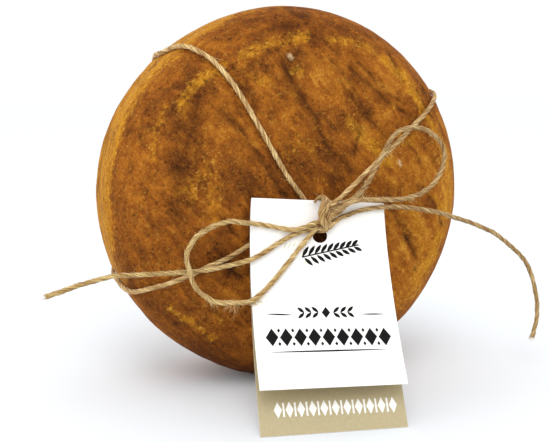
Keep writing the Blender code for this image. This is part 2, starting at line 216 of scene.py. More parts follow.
# Routes of the free strands in millimetres, each from the middle of the knot outward
LEFT_LOOP_ROUTE = (
    (0.6, -61.9, 104.2), (-5.4, -62.0, 102.9), (-9.2, -62.0, 101.6), (-14.7, -60.6, 100.1),
    (-20.3, -57.8, 100.5), (-28.1, -55.9, 102.3), (-36.0, -54.4, 103.7), (-45.1, -57.0, 105.5),
    (-52.5, -57.5, 106.6), (-60.5, -58.0, 105.2), (-66.8, -58.8, 102.8), (-72.2, -59.6, 99.9),
    (-75.7, -60.6, 96.2), (-78.4, -61.7, 92.0), (-79.3, -62.8, 87.4), (-78.0, -64.5, 80.8),
    (-76.9, -65.8, 75.6), (-74.0, -67.5, 70.8), (-69.8, -69.3, 67.2), (-64.7, -71.0, 64.5),
    (-55.3, -73.2, 64.0), (-46.1, -72.8, 63.9), (-37.2, -71.0, 68.6), (-26.1, -67.4, 77.5),
    (-15.5, -64.0, 87.2), (-10.2, -62.7, 92.4), (-5.6, -62.3, 97.1), (-0.7, -62.0, 101.1),
)
RIGHT_LOOP_ROUTE = (
    (6.4, -60.9, 110.2), (13.0, -60.8, 113.0), (16.5, -62.8, 114.9), (21.4, -62.0, 116.4),
    (26.6, -61.0, 120.3), (31.0, -60.4, 125.0), (34.2, -59.8, 129.8), (39.6, -58.6, 137.8),
    (45.5, -56.9, 146.6), (49.9, -55.9, 151.6), (53.9, -55.2, 154.5), (58.2, -54.6, 155.8),
    (62.8, -54.2, 156.4), (67.8, -53.9, 156.2), (73.1, -53.6, 154.7), (78.5, -53.4, 151.6),
    (82.9, -53.2, 148.0), (85.6, -53.0, 143.7), (86.7, -52.9, 139.0), (86.2, -52.9, 134.2),
    (84.5, -53.1, 129.3), (81.9, -53.4, 125.1), (77.7, -54.2, 120.8), (72.2, -55.2, 118.0),
    (65.5, -56.8, 115.7), (52.1, -60.4, 114.3), (34.6, -64.6, 115.7), (22.1, -66.4, 115.9),
    (15.9, -66.2, 114.3), (11.9, -65.2, 111.8), (6.3, -61.0, 108.4),
)
LEFT_TAIL_ROUTE = (
    (0.6, -61.1, 101.2), (-4.9, -60.2, 99.8), (-8.9, -59.8, 98.8), (-15.4, -59.5, 97.0),
    (-24.6, -59.7, 92.7), (-34.5, -60.4, 87.5), (-42.1, -61.2, 84.7), (-47.6, -59.6, 83.1),
    (-54.0, -57.0, 81.4), (-65.6, -54.4, 79.3), (-77.4, -53.0, 78.7), (-90.5, -52.3, 78.7),
    (-102.9, -52.0, 79.0), (-109.2, -51.9, 79.0), (-115.4, -52.0, 79.5), (-122.4, -52.4, 78.8),
    (-130.4, -53.2, 77.4), (-138.7, -54.2, 75.8), (-146.7, -55.5, 73.8), (-154.3, -57.0, 72.3),
)
RIGHT_TAIL_ROUTE = (
    (4.4, -61.6, 101.6), (9.5, -61.0, 103.6), (14.1, -60.6, 105.6), (18.3, -60.6, 106.8),
    (24.8, -60.7, 108.8), (32.8, -61.2, 110.0), (42.1, -62.6, 110.6), (52.5, -61.8, 110.0),
    (63.2, -60.8, 108.4), (77.5, -59.6, 105.5), (90.1, -58.6, 101.6), (104.4, -57.7, 96.8),
    (113.4, -57.2, 93.1), (121.6, -57.0, 89.4), (129.2, -56.8, 84.3), (136.2, -56.6, 78.9),
    (142.3, -56.6, 73.8), (147.3, -56.7, 68.2), (150.8, -56.9, 61.7), (153.4, -57.2, 54.9),
    (154.9, -57.6, 48.6), (156.1, -58.1, 42.2), (156.2, -58.6, 36.1), (155.6, -59.2, 30.2),
    (152.2, -60.0, 19.1),
)

# Name, solid that it stands for, route, real length, how its far end stops, stray fibres to the metre, tint
BOW_STRANDS = (
    ("left_loop", "bow_loop_left", LEFT_LOOP_ROUTE, 0.202, "object", 3600, (1.12, 1.16, 1.12)),
    ("right_loop", "bow_loop_right", RIGHT_LOOP_ROUTE, 0.208, "object", 4200, (0.92, 0.90, 0.90)),
    ("left_tail", "bow_tail_left", LEFT_TAIL_ROUTE, 0.162, "bare", 3000, (1.10, 1.14, 1.08)),
    ("right_tail", "bow_tail_right", RIGHT_TAIL_ROUTE, 0.206, "bare", 2600, (0.92, 0.91, 0.90)),
)
# Tufts where a ply has worn open, each on one strand: the millimetre point nearest to it, the way that the
# tuft hangs, its fibres and their length
WORN_TUFTS = {
    "left_loop": (((-46.0, -72.8, 64.0), (0.8, 0.1, -0.6), 44, 12 * MM),
                  ((-56.0, -73.0, 64.0), (-0.3, 0.1, -0.9), 30, 7 * MM),
                  ((-68.0, -70.0, 66.0), (0.3, -0.2, -0.9), 24, 6 * MM)),
    "right_loop": (((24.0, -66.2, 116.0), (0.2, -0.3, 0.9), 30, 6 * MM),
                   ((44.0, -57.2, 144.0), (0.5, -0.2, -0.8), 22, 7 * MM),
                   ((60.0, -58.4, 115.0), (0.6, -0.2, -0.5), 18, 6 * MM)),
}


def paint(red, green, blue):
    """A colour given as it looks on a screen, 0 to 255, in the linear values that shaders use."""
    shares = [value / 255 for value in (red, green, blue)]
    return (*[s / 12.92 if s <= 0.04045 else ((s + 0.055) / 1.055) ** 2.4 for s in shares], 1.0)


def set_inputs(tree, node, inputs):
    """Sets a shader node's inputs, given by name or number, to values or to other nodes' outputs."""
    for key, value in inputs.items():
        if isinstance(value, bpy.types.NodeSocket):
            tree.links.new(value, node.inputs[key])
        else:
            node.inputs[key].default_value = value


def add_node(tree, kind, inputs, **settings):
    made = tree.nodes.new(kind)
    for name, value in settings.items():
        setattr(made, name, value)
    set_inputs(tree, made, inputs)
    return made


def ramp(tree, factor, stops):
    """A colour that runs through the stops (position, colour) as the factor rises."""
    made = add_node(tree, "ShaderNodeValToRGB", {"Fac": factor})
    elements = made.color_ramp.elements
    while len(elements) < len(stops):
        elements.new(1.0)
    for element, (position, colour) in zip(elements, stops):
        element.position = position
        element.color = colour
    return made.outputs["Color"]


def blend_colours(tree, factor, below, above, kind="MIX"):
    inputs = {0: factor, 6: below, 7: above}
    return add_node(tree, "ShaderNodeMix", inputs, data_type="RGBA", blend_type=kind).outputs[2]


def reckon(tree, first, second, operation="MULTIPLY"):
    """One sum on two numbers, kept between 0 and 1."""
    made = add_node(tree, "ShaderNodeMath", {0: first, 1: second}, operation=operation, use_clamp=True)
    return made.outputs["Value"]


def grain(tree, vector, scale, detail=3.0, roughness=0.5, distortion=0.0):
    """Fractal noise between 0 and 1, with its grain about 1 / scale wide."""
    made = add_node(tree, "ShaderNodeTexNoise", {"Vector": vector, "Scale": scale, "Detail": detail,
                                                 "Roughness": roughness, "Distortion": distortion})
    return made.outputs["Fac"]


def attribute(tree, name, output="Fac"):
    return add_node(tree, "ShaderNodeAttribute", {}, attribute_name=name).outputs[output]


def object_place(tree):
    return add_node(tree, "ShaderNodeTexCoord", {}).outputs["Object"]


def stretched(tree, vector, factors):
    """A vector with each of its numbers multiplied, so that a grain on it is drawn out or packed."""
    inputs = {0: vector, 1: factors}
    return add_node(tree, "ShaderNodeVectorMath", inputs, operation="MULTIPLY").outputs["Vector"]


def bump(tree, height, strength, distance, **inputs):
    made = add_node(tree, "ShaderNodeBump", {"Strength": strength, "Distance": distance, "Height": height,
                                             **inputs})
    return made.outputs["Normal"]


def new_material(name):
    made = bpy.data.materials.new(name)
    made.use_nodes = True
    return made, made.node_tree, made.node_tree.nodes["Principled BSDF"]


def smooth_curve(route, closed=False, parts=12):
    """A smooth curve through every point of a route (Catmull-Rom)."""
    points = np.asarray(route, float)
    if closed:
        padded = np.vstack([points[-1:], points, points[:2]])
    else:
        padded = np.vstack([2 * points[0] - points[1], points, 2 * points[-1] - points[-2]])
    curve = []
    for a, b, c, d in zip(padded[:-3], padded[1:-2], padded[2:-1], padded[3:]):
        for step in range(parts):
            t = step / parts
            curve.append(0.5 * (2 * b + (c - a) * t + (2 * a - 5 * b + 4 * c - d) * t * t
                                + (3 * b - a - 3 * c + d) * t ** 3))
    if not closed:
        curve.append(points[-1])
    return np.array(curve)


def norms(vectors):
    return np.linalg.norm(vectors, axis=1)


def evenly_spaced(points, count, closed=False):
    points = np.asarray(points, float)
    if closed:
        points = np.vstack([points, points[:1]])
    steps = norms(np.diff(points[:, :3], axis=0))
    lengths = np.concatenate([[0.0], np.cumsum(steps)])
    marks = np.linspace(0.0, lengths[-1], count + 1 if closed else count)
    spaced = np.stack([np.interp(marks, lengths, values) for values in points.T], axis=1)
    return spaced[:-1] if closed else spaced


def length_of(points, closed=False):
    points = np.vstack([points, points[:1]]) if closed else points
    return float(norms(np.diff(points[:, :3], axis=0)).sum())


def twine_line(route, closed=False):
    """A smooth line through the route, with a point for each ring of the twine."""
    curve = smooth_curve(route, closed)
    return evenly_spaced(curve, round(length_of(curve, closed) / RING_SPACING), closed)


def carried_frames(points, closed=False):
    """At each point the way along and two ways across, carried along the line without turning round it."""
    ahead = np.roll(points, -1, axis=0) - np.roll(points, 1, axis=0)
    if not closed:
        ahead[0] = points[1] - points[0]
        ahead[-1] = points[-1] - points[-2]
    ahead /= norms(ahead)[:, None]
    side = np.cross(ahead[0], (0.3, 0.9, 0.1))
    sides = []
    for way in ahead:
        side = side - way * side.dot(way)
        side /= np.linalg.norm(side)
        sides.append(side)
    sides = np.array(sides)
    return ahead, sides, np.cross(ahead, sides)


def mesh_of_tubes(name, tubes, closed=False):
    """One mesh of tubes, each given as an array of its rings; open tubes get a cap on both ends."""
    vertices, faces = [], []
    for rings in tubes:
        first, (count, points) = len(vertices), rings.shape[:2]
        vertices.extend(map(tuple, rings.reshape(-1, 3)))
        for ring in range(count if closed else count - 1):
            here, there = first + ring * points, first + (ring + 1) % count * points
            for k in range(points):
                k_next = (k + 1) % points
                faces.append((here + k, here + k_next, there + k_next, there + k))
        if not closed:
            last = first + (count - 1) * points
            faces.append(tuple(range(first + points - 1, first - 1, -1)))
            faces.append(tuple(range(last, last + points)))
    mesh = bpy.data.meshes.new(name)
    mesh.from_pydata(vertices, [], faces)
    return mesh


def add_piece(name, mesh, *materials):
    made = bpy.data.objects.new(name, mesh)
    scene.collection.objects.link(made)
    for material in materials:
        mesh.materials.append(material)
    mesh.shade_smooth()
    return made


def write_attribute(mesh, name, values):
    values = np.asarray(values, np.float32)
    kind, key = ("FLOAT", "value") if values.ndim == 1 else ("FLOAT_VECTOR", "vector")
    mesh.attributes.new(name, kind, "POINT").data.foreach_set(key, values.ravel())


def twist_along(points, closed):
    """The angle that the plies have turned through at each point, and the length up to it."""
    ahead, sides, across = carried_frames(points, closed)
    whole = length_of(points, closed)
    run = np.arange(len(points)) * whole / (len(points) if closed else len(points) - 1)
    turns = whole / TWIST_PITCH
    if closed:
        side = sides[-1] - ahead[0] * sides[-1].dot(ahead[0])
        gap = math.atan2(side.dot(across[0]), side.dot(sides[0])) / math.tau
        turns = round(turns) - gap
    return run, run / whole * turns * math.tau


def lay_twine(name, points, radii, tint, seed, closed=False):
    """A twisted twine along the points: the outline of its round plies, turned steadily as it runs."""
    _, sides, across = carried_frames(points, closed)
    run, twist = twist_along(points, closed)
    angles = np.arange(RING_POINTS) * math.tau / RING_POINTS
    within = (angles + math.pi / PLIES) % (math.tau / PLIES) - math.pi / PLIES
    outline = PLY_OFFSET * np.cos(within) + np.sqrt(PLY_RADIUS ** 2 - (PLY_OFFSET * np.sin(within)) ** 2)
    radii = np.broadcast_to(radii, len(points))
    shift = SEED_SHIFT * seed
    rings = np.zeros((len(points), RING_POINTS, 3))
    for n, (place, side, over) in enumerate(zip(points, sides, across)):
        swell = 1 + THICK_AND_THIN * noise.noise(Vector((run[n] / THICKNESS_SPACING, shift, 0)))
        for k, angle in enumerate(angles):
            ridge = noise.noise(Vector((RIDGES_ROUND * math.cos(angle), RIDGES_ROUND * math.sin(angle),
                                        run[n] * RIDGES_ALONG + shift)))
            reach = radii[n] * outline[k] * swell + FIBRE_RELIEF * ridge
            turned = angle + twist[n]
            rings[n, k] = place + reach * (math.cos(turned) * side + math.sin(turned) * over)
    mesh = mesh_of_tubes(name, [rings], closed)
    lay = [(math.cos(angle), math.sin(angle), at) for at in run for angle in angles]
    write_attribute(mesh, "lay", np.array(lay) + (0, 0, seed))
    write_attribute(mesh, "tint", np.tile(tint, (len(lay), 1)))
    # How deep each point lies towards a groove between the plies, which sets the painted shade there
    groove = (1 - outline) / (1 - outline.min())
    write_attribute(mesh, "groove", np.tile(groove, len(points)))
    return mesh


def fibre(root, way, outward, reach, chance):
    """Rings of one stray fibre that leaves the twine at a slant and curls away."""
    curl = Vector([chance.uniform(-1, 1) for _ in range(3)]) * FIBRE_CURL
    lift = chance.uniform(*FIBRE_LIFT)
    line = []
    for step in range(FIBRE_STEPS):
        t = step / (FIBRE_STEPS - 1)
        line.append(np.array(Vector(root) + reach * (way * t + outward * lift * t ** 1.4 + curl * t * t)))
    line = np.array(line)
    _, sides, across = carried_frames(line)
    rings = []
    thickness = chance.uniform(*FIBRE_RADII)
    for n in range(FIBRE_STEPS):
        radius = thickness * (1 - FIBRE_TAPER * n / (FIBRE_STEPS - 1))
        rings.append([line[n] + radius * (math.cos(a) * sides[n] + math.sin(a) * across[n])
                      for a in (0, math.tau / 3, 2 * math.tau / 3)])
    return np.array(rings)


def stray_fibres(name, points, per_metre, seed, tufts=(), cut_end=False):
    """The hairs of one strand: short ones all along it, tufts where it is worn, and a brush at a cut end."""
    chance = random.Random(seed)
    ahead, sides, across = carried_frames(points)
    hairs = []

    def any_way_out(n):
        angle = chance.uniform(0, math.tau)
        return Vector(sides[n] * math.cos(angle) + across[n] * math.sin(angle))

    for _ in range(round(length_of(points) * per_metre)):
        n = chance.randrange(3, len(points) - 3)
        outward = any_way_out(n)
        way = Vector(ahead[n]) * chance.choice((-1, 1))
        usual = LONG_HAIR if chance.random() < LONG_HAIRS else 0.0
        reach = min(LONGEST_HAIR, chance.lognormvariate(usual, HAIR_SPREAD)) * MM
        root = points[n] + np.array(outward) * TWINE_RADIUS * HAIR_ROOT
        hairs.append(fibre(root, way, outward, reach, chance))
    for place, way, count, length in tufts:
        near = np.array(place) * MM
        for _ in range(count):
            spread = near + np.array([chance.gauss(0, TUFT_SPREAD) for _ in range(3)]) * MM
            n = int(np.argmin(norms(points - spread)))
            outward = any_way_out(n)
            slant = (Vector(way).normalized() + Vector(ahead[n]) * chance.uniform(*TUFT_SLANT)).normalized()
            root = points[n] + np.array(outward) * TWINE_RADIUS * TUFT_ROOT
            reach = length * chance.uniform(*TUFT_SHARES)
            hairs.append(fibre(root, slant, outward * TUFT_LIFT, reach, chance))
    for _ in range(BRUSH_FIBRES if cut_end else 0):
        outward, share = any_way_out(-1), chance.random() ** 0.5
        root = points[-1] + np.array(outward) * TWINE_RADIUS * share - ahead[-1] * 0.5 * MM
        reach = chance.uniform(*BRUSH_LENGTHS) * MM
        hairs.append(fibre(root, Vector(ahead[-1]), outward * BRUSH_LIFT, reach, chance))
    piece = add_piece(name, mesh_of_tubes(name, hairs), fibre_finish)
    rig.slot(piece, "twine")
    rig.ride(piece, "root")
    return piece


# Jute: straw-coloured fibres in streaks along the plies, with painted shade that darkens the grooves between
# the plies to brown and leaves their crowns paler
jute, tree, shader = new_material("jute")
lay = stretched(tree, attribute(tree, "lay", "Vector"), (3.6, 3.6, 150.0))
streaks = grain(tree, lay, 1.0, detail=3.0, roughness=0.6)
long_tone = grain(tree, stretched(tree, lay, (0.15, 0.15, 0.35)), 1.0, detail=2.0)
flecks = grain(tree, lay, 2.6, detail=2.0)
straw = ramp(tree, streaks, ((0.31, paint(98, 70, 36)), (0.43, paint(168, 134, 84)),
                             (0.54, paint(210, 180, 127)), (0.67, paint(246, 226, 178))))
worn = ramp(tree, long_tone, ((0.42, paint(255, 252, 244)), (0.66, paint(196, 172, 144))))
straw = blend_colours(tree, 0.8, straw, worn, "MULTIPLY")
fleck_mask = ramp(tree, flecks, ((0.58, (0, 0, 0, 1)), (0.65, (1, 1, 1, 1))))
straw = blend_colours(tree, reckon(tree, fleck_mask, 0.75), straw, paint(100, 72, 40))
# Painted shade: the grooves between the plies are painted brown
groove = attribute(tree, "groove")
straw = blend_colours(tree, reckon(tree, groove, 0.42), straw, paint(104, 74, 38))
straw = blend_colours(tree, 1.0, straw, attribute(tree, "tint", "Color"), "MULTIPLY")
set_inputs(tree, shader, {"Base Color": straw, "Roughness": 0.9, "Specular IOR Level": 0.15,
                          "Sheen Weight": 0.12, "Normal": bump(tree, streaks, 0.7, 0.2 * MM)})

# Stray fibres: the same jute, bleached by being single and dry
fibre_finish, tree, shader = new_material("jute_fibre")
place = object_place(tree)
tone = ramp(tree, grain(tree, place, 160.0), ((0.35, paint(192, 160, 102)), (0.65, paint(240, 218, 164))))
set_inputs(tree, shader, {"Base Color": tone, "Roughness": 0.8, "Specular IOR Level": 0.2})

twine_lines = {}
for seed, (name, solid, route, length, far_end, hairiness, tint) in enumerate(BOW_STRANDS):
    line = twine_line(np.array(route) * MM)
    radii = np.full(len(line), TWINE_RADIUS)
    cut_end = far_end == "bare"
    if cut_end:
        to_end = np.arange(len(line))[::-1] * RING_SPACING
        radii *= 1 + CUT_END_FLARE * np.clip(1 - to_end / CUT_END_LENGTH, 0, 1)
    strand = add_piece(name, lay_twine(name, line, radii, tint, seed), jute)
    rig.ride(strand, "root")
    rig.replaces(strand, solid)
    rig.slot(strand, "twine")
    hairs = stray_fibres(name + "_fibres", line, hairiness, seed, WORN_TUFTS.get(name, ()), cut_end)
    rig.cord(strand, exit=line[0], length=length, diameter=2 * TWINE_RADIUS, far_end=far_end,
            stiffness="medium", lay="loose", path=line, with_pieces=[hairs])
    twine_lines[name] = line


# The two wraps: the same twine, pulled tight round the wheel from face to face and over the rim. The first
# is a closed ring behind the knot; the second crosses over it at the back and comes up into the knot.
WHEEL_RADIUS = 115.7 * MM
HALF_THICKNESS = 46.7 * MM
EDGE_RADIUS = 37.2 * MM
WHEEL_CENTRE = 113.7 * MM
FACE_RADIUS = WHEEL_RADIUS - EDGE_RADIUS
RIM_HALF = HALF_THICKNESS - EDGE_RADIUS
TWINE_LIE = 1.82 * MM
PRESSED_IN = 0.15 * MM
WRAP_POINTS = 72
FRONT_CROSSING = (4.0, -8.3)
BEHIND_CARD = (14.4, -21.6)
BACK_CROSSING = (-17.0, 4.0)
UPPER_LEFT_LEG = (125.0, 132.0, 137.0)
LOWER_RIGHT_LEG = (302.5, 300.0, 298.0)
UPPER_RIGHT_LEG = (33.0, 33.3, 35.0)
LOWER_LEFT_LEG = (206.0, 205.2, 204.0)
BACK_HUMP = 3.7 * MM
HUMP_REACH = 11.0 * MM
PULLING_STEPS = 400
LIFTED_OFF = 1.5 * MM
WRAP_HAIRS = 2000
LOWER_LEFT_START = (-0.2, -52.7, 103.4)
UPPER_RIGHT_START = (13.9, -60.8, 117.4)
KNOT_END = (6.2, -61.8, 112.9)
UPPER_LEFT_PLACES = (
    (-14.6, -48.5, 130.2), (-30.0, -48.5, 156.2), (-42.2, -48.5, 175.8), (-50.6, -46.9, 187.9),
    (-57.6, -40.8, 196.9), (-65.8, -28.0, 203.5), (-71.8, -9.2, 204.2), (-75.6, 4.2, 200.9),
)
UPPER_RIGHT_PLACES = ((67.0, -48.5, 156.3), (75.8, -46.6, 163.1), (85.8, -40.0, 170.4))
LOWER_LEFT_PLACES = (
    (-37.7, -48.5, 90.4), (-49.9, -48.5, 84.2), (-67.8, -48.5, 77.6), (-83.5, -45.5, 71.2),
    (-94.4, -37.7, 66.8), (-102.9, -22.7, 62.0),
)
# Where the rim is pressed flatter: the angle round the wheel in degrees, then the place along the axis, the
# depth and the reach in millimetres
PRESSED_PLACES = ((128.5, 8.0, 1.6, 46.0), (237.0, 8.0, 1.2, 30.0))
BROAD_SWELL = 60.0 * MM
BROAD_DEPTH = 0.45 * MM
DENT_SPACING = 21.0 * MM
DENT_DEPTH = 0.3 * MM
DENT_SHIFT = (3.7, 8.1, 5.3)


def pressed_depth(points):
    """How much lower the rim lies at each point where the wheel has been pressed flatter."""
    depth = np.zeros(len(points))
    for degrees, along, deepest, reach in PRESSED_PLACES:
        angle = math.radians(degrees)
        middle = np.array((WHEEL_RADIUS * math.cos(angle), along * MM, WHEEL_RADIUS * math.sin(angle)))
        middle[2] += WHEEL_CENTRE
        away = norms(points - middle)
        depth += deepest * MM * np.exp(-(away / (reach * MM)) ** 4)
    return depth


def rind_depth(point):
    """How far the rind lies inside the turned form at a point: pressed places, broad swells and dents."""
    broad = noise.noise(Vector(point) / BROAD_SWELL)
    dents = noise.noise(Vector(point) / DENT_SPACING + Vector(DENT_SHIFT))
    pressed = pressed_depth(np.array([point]))[0]
    return pressed + BROAD_DEPTH * (1 + broad) + DENT_DEPTH * (1 + dents)


def reach_from_wheel(points):
    """For each point its radius and how far it is out from the edge rounding's middle, split in two."""
    x, y, z = points[:, 0], points[:, 1], points[:, 2] - WHEEL_CENTRE
    radius = np.maximum(np.hypot(x, z), 1e-9)
    outward = np.maximum(radius - FACE_RADIUS, 0.0)
    along = np.maximum(np.abs(y) - RIM_HALF, 0.0)
    return radius, outward, along, np.maximum(np.hypot(outward, along), 1e-9)


def move_from_wheel(points, scale):
    """Points moved along the wheel's surface normal, so that their reach is scaled."""
    radius, outward, along, _ = reach_from_wheel(points)
    new_radius = np.where(outward > 0, FACE_RADIUS + outward * scale, radius)
    new_y = np.where(along > 0, np.sign(points[:, 1]) * (RIM_HALF + along * scale), points[:, 1])
    depth = points[:, 2] - WHEEL_CENTRE
    return np.stack([points[:, 0] * new_radius / radius, new_y, depth * new_radius / radius + WHEEL_CENTRE],
                    axis=1)


def rim_points(leg):
    """Guide points of one leg of a wrap over the rim, from the front face's edge to the back face's."""
    depth, outer = HALF_THICKNESS + TWINE_LIE, WHEEL_RADIUS + TWINE_LIE
    front, middle, back = (math.radians(angle) for angle in leg)
    stations = ((FACE_RADIUS, -depth, front), (outer, -RIM_HALF, (front + middle) / 2), (outer, 0.0, middle),
                (outer, RIM_HALF, (middle + back) / 2), (FACE_RADIUS, depth, back))
    return [(radius * math.cos(angle), y, WHEEL_CENTRE + radius * math.sin(angle))
            for radius, y, angle in stations]


def pull_taut(guide, pinned, humps, closed):
    """Relaxes a string round the wheel: pinned points stay, and no point comes nearer than its clearance."""
    points = evenly_spaced(guide, WRAP_POINTS, closed)
    fixed = [int(np.argmin(norms(points - np.array(place)))) for place in pinned]
    held = np.array(pinned, float)
    for _ in range(PULLING_STEPS):
        points[fixed] = held
        clearances = TWINE_LIE - pressed_depth(points)
        for place, height in humps:
            away = norms(points - np.array(place))
            clearances += height * np.exp(-(away / HUMP_REACH) ** 2)
        relaxed = 0.5 * points + 0.25 * (np.roll(points, 1, axis=0) + np.roll(points, -1, axis=0))
        if not closed:
            relaxed[0], relaxed[-1] = points[0], points[-1]
        reach = reach_from_wheel(relaxed)[3]
        wanted = EDGE_RADIUS + clearances
        points = move_from_wheel(relaxed, np.where(reach < wanted, wanted / reach, 1.0))
    points[fixed] = held
    return points


def settle_on_rind(points):
    """Lays the twine on the uneven rind, pressed in a little, but leaves it where it is lifted off."""
    reach = reach_from_wheel(points)[3]
    lifted = np.clip((reach - EDGE_RADIUS - TWINE_LIE + pressed_depth(points)) / LIFTED_OFF, 0, 1)
    depth = np.array([rind_depth(point) for point in points])
    lying = EDGE_RADIUS + TWINE_RADIUS - PRESSED_IN - depth
    return move_from_wheel(points, (lifted * reach + (1 - lifted) * lying) / reach)


def crossing_point(place, side, clearance):
    return (place[0] * MM, side * (HALF_THICKNESS + clearance), WHEEL_CENTRE + place[1] * MM)


front = crossing_point(FRONT_CROSSING, -1, TWINE_LIE)
lower = crossing_point(BEHIND_CARD, -1, TWINE_LIE)
back = crossing_point(BACK_CROSSING, 1, TWINE_LIE)
raised = crossing_point(BACK_CROSSING, 1, TWINE_LIE + BACK_HUMP)
upper_left, lower_right = rim_points(UPPER_LEFT_LEG), rim_points(LOWER_RIGHT_LEG)
upper_right, lower_left = rim_points(UPPER_RIGHT_LEG), rim_points(LOWER_LEFT_LEG)
start, end, knot_end = np.array((LOWER_LEFT_START, UPPER_RIGHT_START, KNOT_END)) * MM
left_outward, left_downward = np.array(UPPER_LEFT_PLACES) * MM, np.array(LOWER_LEFT_PLACES) * MM
right_inward = np.array(UPPER_RIGHT_PLACES[::-1]) * MM
first_wrap = pull_taut([front, *left_outward, *upper_left[3:], back, *reversed(lower_right)],
                       [front, lower, *left_outward, back, lower_right[2]], [], closed=True)
pinned = [start, *left_downward, lower_left[2], raised, upper_right[2], *right_inward[:2], end]
second_wrap = pull_taut([start, *left_downward, *lower_left[2:], raised, *reversed(upper_right[2:]),
                         *right_inward, end], pinned, [(raised, BACK_HUMP)], closed=False)
second_wrap = np.vstack([settle_on_rind(second_wrap), knot_end])
WRAPS = (
    (5, "first_wrap", "twine_wrap_first", settle_on_rind(first_wrap), True, (1.28, 1.30, 1.30)),
    (6, "second_wrap", "twine_wrap_second", second_wrap, False, (1.18, 1.17, 1.14)),
)
for seed, name, solid, rough, closed, tint in WRAPS:
    line = twine_line(rough, closed)
    wrap = add_piece(name, lay_twine(name, line, TWINE_RADIUS, tint, seed, closed), jute)
    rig.ride(wrap, "root")
    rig.replaces(wrap, solid)
    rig.slot(wrap, "twine")
    stray_fibres(name + "_fibres", line, WRAP_HAIRS, seed)
    twine_lines[name] = line


# The knot: two turns of the twine round the strip of card between its fold and its hole, which cross on the
# front, drawn tight over the bundle in which the strands of the bow come together. A thin curled end stands
# up behind it, and a tail and a loop leave it thick with the pull.
# Each point of these routes gives the place and the twine's radius there, in millimetres
KNOT_TURNS = (
    ((4.6, -55.4, 117.1, 1.0), (4.0, -58.4, 116.8, 1.15), (2.2, -62.2, 114.9, 1.6), (0.4, -64.9, 112.2, 1.95),
     (-0.6, -66.0, 109.1, 2.1), (-0.3, -66.6, 106.2, 2.1), (1.1, -66.8, 103.6, 2.0), (2.6, -66.0, 101.1, 1.7),
     (2.7, -64.0, 99.4, 1.3), (2.2, -61.2, 98.4, 1.0), (1.8, -58.6, 97.6, 0.8), (1.6, -56.0, 97.8, 0.8),
     (1.4, -54.0, 101.4, 0.8), (1.8, -52.6, 106.6, 0.8), (2.4, -52.1, 111.6, 0.8), (3.4, -52.8, 115.8, 0.85)),
    ((5.6, -55.6, 117.0, 1.0), (5.4, -58.6, 116.6, 1.2), (4.2, -62.0, 114.4, 1.6), (3.4, -64.0, 111.6, 1.9),
     (3.3, -64.8, 108.6, 2.0), (3.7, -64.8, 105.6, 2.0), (4.0, -64.8, 102.9, 1.9), (3.0, -64.6, 100.6, 1.6),
     (1.6, -63.4, 99.2, 1.3), (0.9, -61.2, 98.4, 1.0), (0.8, -58.6, 97.6, 0.8), (0.4, -56.0, 98.0, 0.8),
     (0.0, -54.4, 101.4, 0.8), (0.2, -53.2, 106.6, 0.8), (1.2, -52.6, 111.6, 0.8), (4.6, -53.2, 115.8, 0.85)),
)
CURLED_END = (
    (-1.0, -57.2, 114.8, 0.7), (0.3, -56.6, 116.5, 0.85), (2.0, -57.0, 117.8, 0.9), (4.2, -57.4, 117.9, 0.9),
    (6.0, -58.8, 116.8, 0.95), (6.5, -61.0, 115.0, 1.0), (6.0, -62.4, 112.8, 1.0),
)
TAIL_ROOT = (
    (-0.8, -62.2, 100.4, 1.1), (1.8, -63.0, 100.0, 1.5), (4.8, -63.0, 100.8, 1.7), (8.4, -62.2, 102.9, 1.75),
    (12.4, -61.2, 104.9, 1.4), (16.6, -60.8, 106.4, 1.2),
)
LOOP_ROOT = (
    (4.6, -62.9, 105.8, 1.7), (8.2, -62.6, 107.4, 1.8), (12.0, -62.2, 109.3, 1.5), (15.6, -62.4, 111.4, 1.1),
)
KNOT_TWINES = (
    ("left_turn", KNOT_TURNS[0], 7, True), ("right_turn", KNOT_TURNS[1], 8, True),
    ("curled_end", CURLED_END, 9, False), ("tail_root", TAIL_ROOT, 11, False),
    ("loop_root", LOOP_ROOT, 12, False),
)
BUNDLE_RADIUS = 2.3 * MM
BUNDLE_RINGS = 18
BUNDLE_ROUTE = ((-2.6, -62.0, 102.2), (2.8, -61.9, 105.3), (8.0, -62.2, 109.3))
KNOT_TINT = (1.00, 0.97, 0.91)
KNOT_HAIRS = 3600
KNOT_TUFT = ((2.0, -58.0, 117.0), (-0.5, -0.3, 0.7), 12, 5 * MM)


def thick_and_thin_twine(name, route, seed, closed):
    """A twine along a route that gives its own radius at every point."""
    line = twine_line(np.array(route) * MM, closed)
    return lay_twine(name, line[:, :3], line[:, 3], KNOT_TINT, seed, closed)


def mesh_from(name, body):
    """A mesh with the faces of a bmesh, which is freed."""
    mesh = bpy.data.meshes.new(name)
    body.to_mesh(mesh)
    body.free()
    return mesh


parts = bmesh.new()
for name, route, seed, closed in KNOT_TWINES:
    parts.from_mesh(thick_and_thin_twine(name, route, seed, closed))
bundle = evenly_spaced(smooth_curve(np.array(BUNDLE_ROUTE) * MM), BUNDLE_RINGS)
parts.from_mesh(lay_twine("bundle", bundle, BUNDLE_RADIUS, KNOT_TINT, 10))
knot_mesh = mesh_from("knot_of_twine", parts)
knot = add_piece("knot", knot_mesh, jute)
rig.ride(knot, "root")
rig.replaces(knot, "twine_knot")
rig.slot(knot, "twine")
knot_front = evenly_spaced(np.array([point[:3] for point in KNOT_TURNS[0][:9]]) * MM, 30)
stray_fibres("knot_fibres", knot_front, KNOT_HAIRS, 41, (KNOT_TUFT,))
